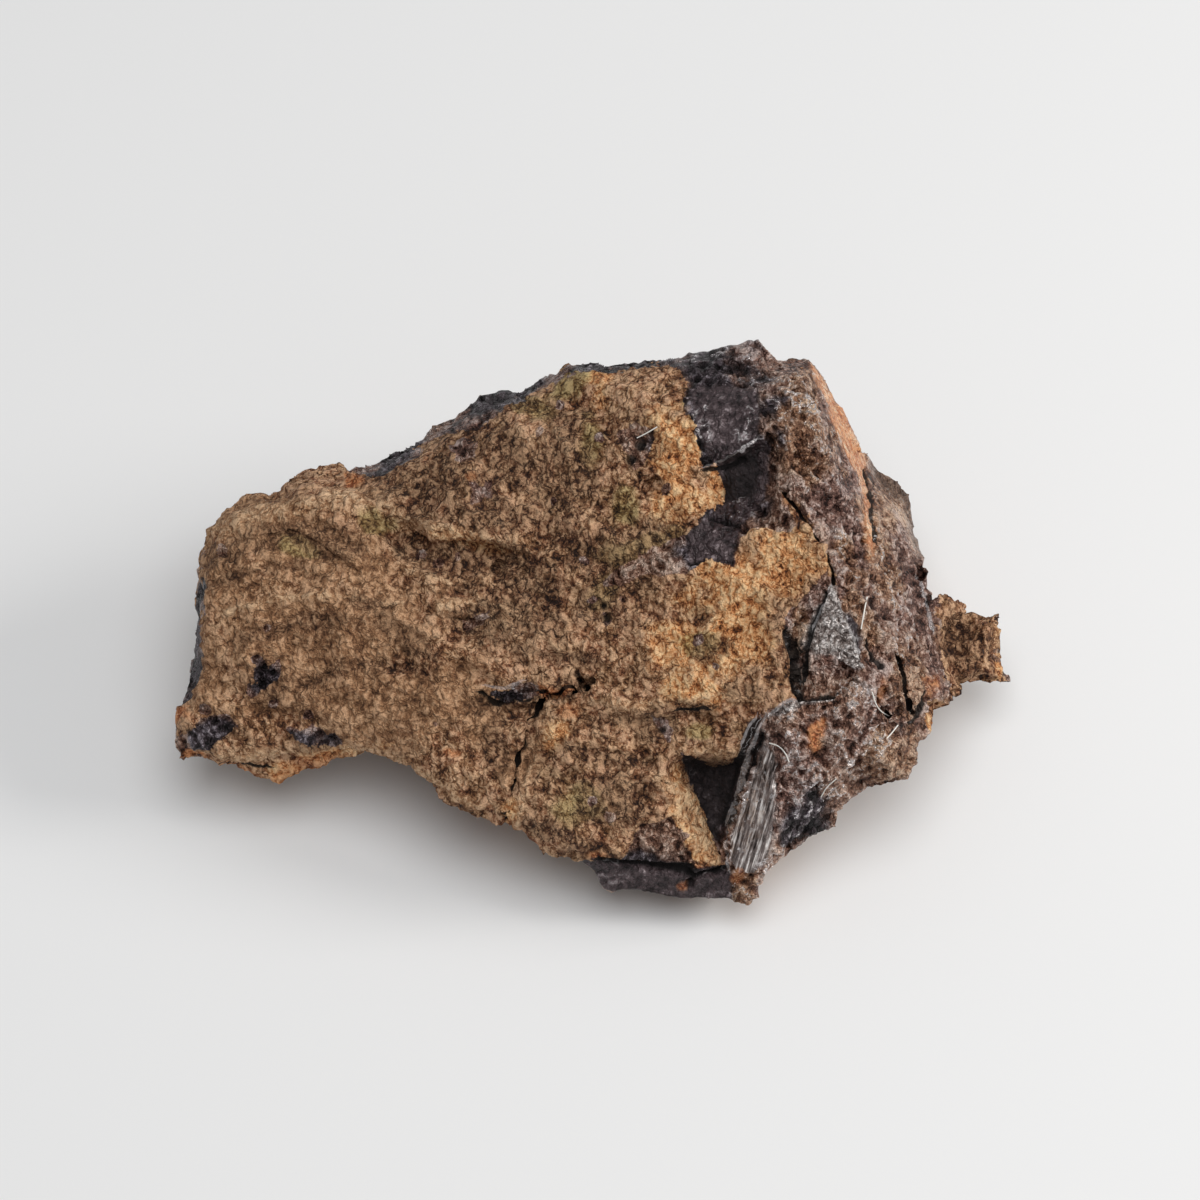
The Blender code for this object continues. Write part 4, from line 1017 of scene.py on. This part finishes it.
def stoneMaterial(wormTree, granuleTree):
    material, nodes, _ = newMaterial("weatheredIron")
    tree = material.node_tree
    shader = nodes["Principled BSDF"]
    inMm = vectorNode(tree, "SCALE", nodes.new("ShaderNodeTexCoord").outputs["Object"])
    inMm.inputs["Scale"].default_value = 1.0 / mm
    place = inMm.outputs[0]
    masks = {name: attributeNode(tree, name) for name in (
        "crust", "bright", "olive", "darkCrustAndShade", "pale", "rust", "smoothIron", "greyIron", "brown", "blue",
        "glint", "recessShade", "calm", "streaked", "worn", "relief", "peach", "edgeLine", "edgeNear", "crackLine",
        "crackNear")}
    patterns = sharedPatterns(tree, place, masks, wormTree, granuleTree)
    weave = patterns["weave"]

    fringe = over(tree, patterns["woven"], shaderSettings["grainMiddle"], 0.9)
    crustShare = over(tree, mathNode(tree, "ADD", masks["crust"], fringe), 0.45, 8.0, clamp=True)
    bareShare = opposite(tree, crustShare)
    crackShare = lineShare(tree, masks, "crack")
    # the broken edge lines, painted white as a highlight
    edgeShare = lineShare(tree, masks, "edge")
    # cracks and deep places, painted near black as shade
    shadedRecess = mathNode(tree, "MAXIMUM", masks["recessShade"], crackShare)
    shadowed = mathNode(tree, "SUBTRACT", shadedRecess, edgeShare, clamp=True)
    glitter = glitterOf(tree, masks, patterns, bareShare, edgeShare)
    facets = facetColours(tree, place)

    iron = ironColour(tree, place, masks, patterns)
    colour = mixColour(tree, crustShare, iron, ochreColour(tree, place, masks, patterns))
    freshRust = mathNode(tree, "ADD", patterns["grit"], 0.4)
    freshRust = mathNode(tree, "MULTIPLY", masks["rust"], freshRust, clamp=True)
    # the relief height paints the raised places of the rust layers lighter: painted light and shade
    layered = plusPart(tree, mixValue(tree, 0.6, patterns["striation"], weave), patterns["raised"], 0.3)
    colour = layOver(tree, colour, [(freshRust, weave, "rust"), (masks["peach"], layered, "peach")])
    # the painted shade of cracks, holes, slits and deep places
    colour = mixColour(tree, times(tree, shadedRecess, 0.93), colour, linearColour(*recessShadeBlack))
    # the painted glints: white painted highlight mixed into the colour
    colour = mixColour(
        tree, times(tree, glitter, shaderSettings["glintShare"]), colour, linearColour(*glintWhite))

    feed(tree, shader.inputs["Base Color"], colour)
    feed(tree, shader.inputs["Metallic"], metalOf(tree, masks, glitter, bareShare, shadowed))
    feed(tree, shader.inputs["Roughness"], roughnessOf(tree, masks, facets, crustShare, shadedRecess))
    feed(tree, shader.inputs["Normal"], bumpedNormal(tree, masks, patterns, facets))
    shader.inputs["Specular IOR Level"].default_value = shaderSettings["specular"]
    return material


lintSettings = {
    "radius": 0.019,   # mm
    "lift": 0.03,
    "colours": ((222, 216, 204), (255, 254, 250)),
    "routes": {        # photo pixels
        "lintUpper": [(637, 438), (645, 434), (657, 427)],
        "lintRidge": [(769, 743), (778, 746), (785, 753), (789, 762)],
        "lintRight": [(867, 597), (864, 612), (861, 629)],
        "lintSlit": [(872, 692), (876, 704), (882, 712), (889, 716)],
        "lintLow": [(898, 725), (888, 737), (875, 748)],
        "lintBlue": [(821, 797), (827, 787), (836, 779)],
    },
}


def lintMaterial():
    material, nodes, links = newMaterial("lint")
    tree = material.node_tree
    shader = nodes["Principled BSDF"]
    coordinates = nodes.new("ShaderNodeTexCoord")
    tone = noiseNode(tree, coordinates.outputs["Object"], 4000.0, 2.0)
    colour = mixColour(tree, tone, *(linearColour(*shade) for shade in lintSettings["colours"]))
    links.new(colour, shader.inputs["Base Color"])
    shader.inputs["Roughness"].default_value = 0.6
    return material


def makeLint(stone, material):
    # thin fibres laid on the stone along the sight lines
    settings = lintSettings
    surface = BVHTree.FromObject(stone, bpy.context.evaluated_depsgraph_get())
    eye = (middle + towardAxis * viewSettings["distance"]) * mm
    for name, route in settings["routes"].items():
        curve = bpy.data.curves.new(name, "CURVE")
        curve.dimensions = "3D"
        curve.bevel_depth = settings["radius"] * mm
        curve.bevel_resolution = 1
        curve.use_fill_caps = True
        curve.resolution_u = 4
        spline = curve.splines.new("BEZIER")
        laid = []
        for x, y in route:
            right, up = photoPlace(x, y)
            target = (middle + Vector((1, 0, 0)) * right + upAxis * up) * mm
            hit = surface.ray_cast(eye, (target - eye).normalized())[0]
            if hit is None:
                continue
            laid.append(hit + towardAxis * settings["lift"] * mm)
        spline.bezier_points.add(len(laid) - 1)
        for point, spot in zip(spline.bezier_points, laid):
            point.co = spot
            point.handle_left_type = "AUTO"
            point.handle_right_type = "AUTO"
        holder = bpy.data.objects.new(name + "Curve", curve)
        bpy.context.scene.collection.objects.link(holder)
        mesh = bpy.data.meshes.new_from_object(holder.evaluated_get(bpy.context.evaluated_depsgraph_get()))
        bpy.data.objects.remove(holder)
        fibre = bpy.data.objects.new(name, mesh)
        bpy.context.scene.collection.objects.link(fibre)
        mesh.materials.clear()
        mesh.materials.append(material)
        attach(fibre, "root")


tableSettings = {"size": 0.9, "colour": (236, 236, 236)}


def makeTable():
    floor = bmesh.new()
    bmesh.ops.create_grid(floor, x_segments=1, y_segments=1, size=tableSettings["size"] / 2)
    mesh = bpy.data.meshes.new("table")
    floor.to_mesh(mesh)
    floor.free()
    table = bpy.data.objects.new("table", mesh)
    bpy.context.scene.collection.objects.link(table)
    material, nodes, _ = newMaterial("tableWhite")
    nodes["Principled BSDF"].inputs["Base Color"].default_value = linearColour(*tableSettings["colour"])
    nodes["Principled BSDF"].inputs["Roughness"].default_value = 0.7
    mesh.materials.append(material)


lightSettings = {
    "key": {"place": (0.16, 0.01, 0.09), "size": 0.08, "power": 0.17, "colour": (1.0, 0.98, 0.95)},
    "top": {"place": (0.02, -0.035, 0.27), "size": 0.26, "power": 0.44, "colour": (0.98, 0.99, 1.0)},
}
worldStrength = 0.27


def makeLights():
    for name, settings in lightSettings.items():
        lamp = bpy.data.lights.new(name, "AREA")
        lamp.shape = "DISK"
        lamp.size = settings["size"]
        lamp.energy = settings["power"]
        lamp.color = settings["colour"]
        holder = bpy.data.objects.new(name, lamp)
        bpy.context.scene.collection.objects.link(holder)
        holder.location = settings["place"]
        holder.rotation_euler = (-Vector(settings["place"])).to_track_quat("-Z", "Y").to_euler()
    world = bpy.data.worlds.new("softRoom")
    bpy.context.scene.world = world
    world.use_nodes = True
    world.node_tree.nodes["Background"].inputs["Color"].default_value = (1.0, 1.0, 1.0, 1.0)
    world.node_tree.nodes["Background"].inputs["Strength"].default_value = worldStrength


def makeCamera():
    camera = bpy.data.cameras.new("photoView")
    camera.sensor_width = 36.0
    camera.angle = 2.0 * math.atan(viewSettings["frameWidth"] / 2 / viewSettings["distance"])
    camera.clip_start = 0.005
    holder = bpy.data.objects.new("photoView", camera)
    bpy.context.scene.collection.objects.link(holder)
    holder.location = (middle + towardAxis * viewSettings["distance"]) * mm
    holder.rotation_euler = (-towardAxis).to_track_quat("-Z", "Y").to_euler()
    bpy.context.scene.camera = holder
    bpy.context.scene.view_settings.view_transform = "Standard"


makeCamera()
makeLights()
makeTable()
print("camera, light and table ready")
stone = makeStone(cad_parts["meteorite"])
print("stone cut finer:", len(stone.data.polygons), "triangles")
addRelief(stone)
stone.data.materials.clear()
stone.data.materials.append(stoneMaterial(wormGroup(), granuleGroup()))
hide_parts("meteorite")
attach(stone, "root")
print("stone surface finished")
makeLint(stone, lintMaterial())
print("lint laid")
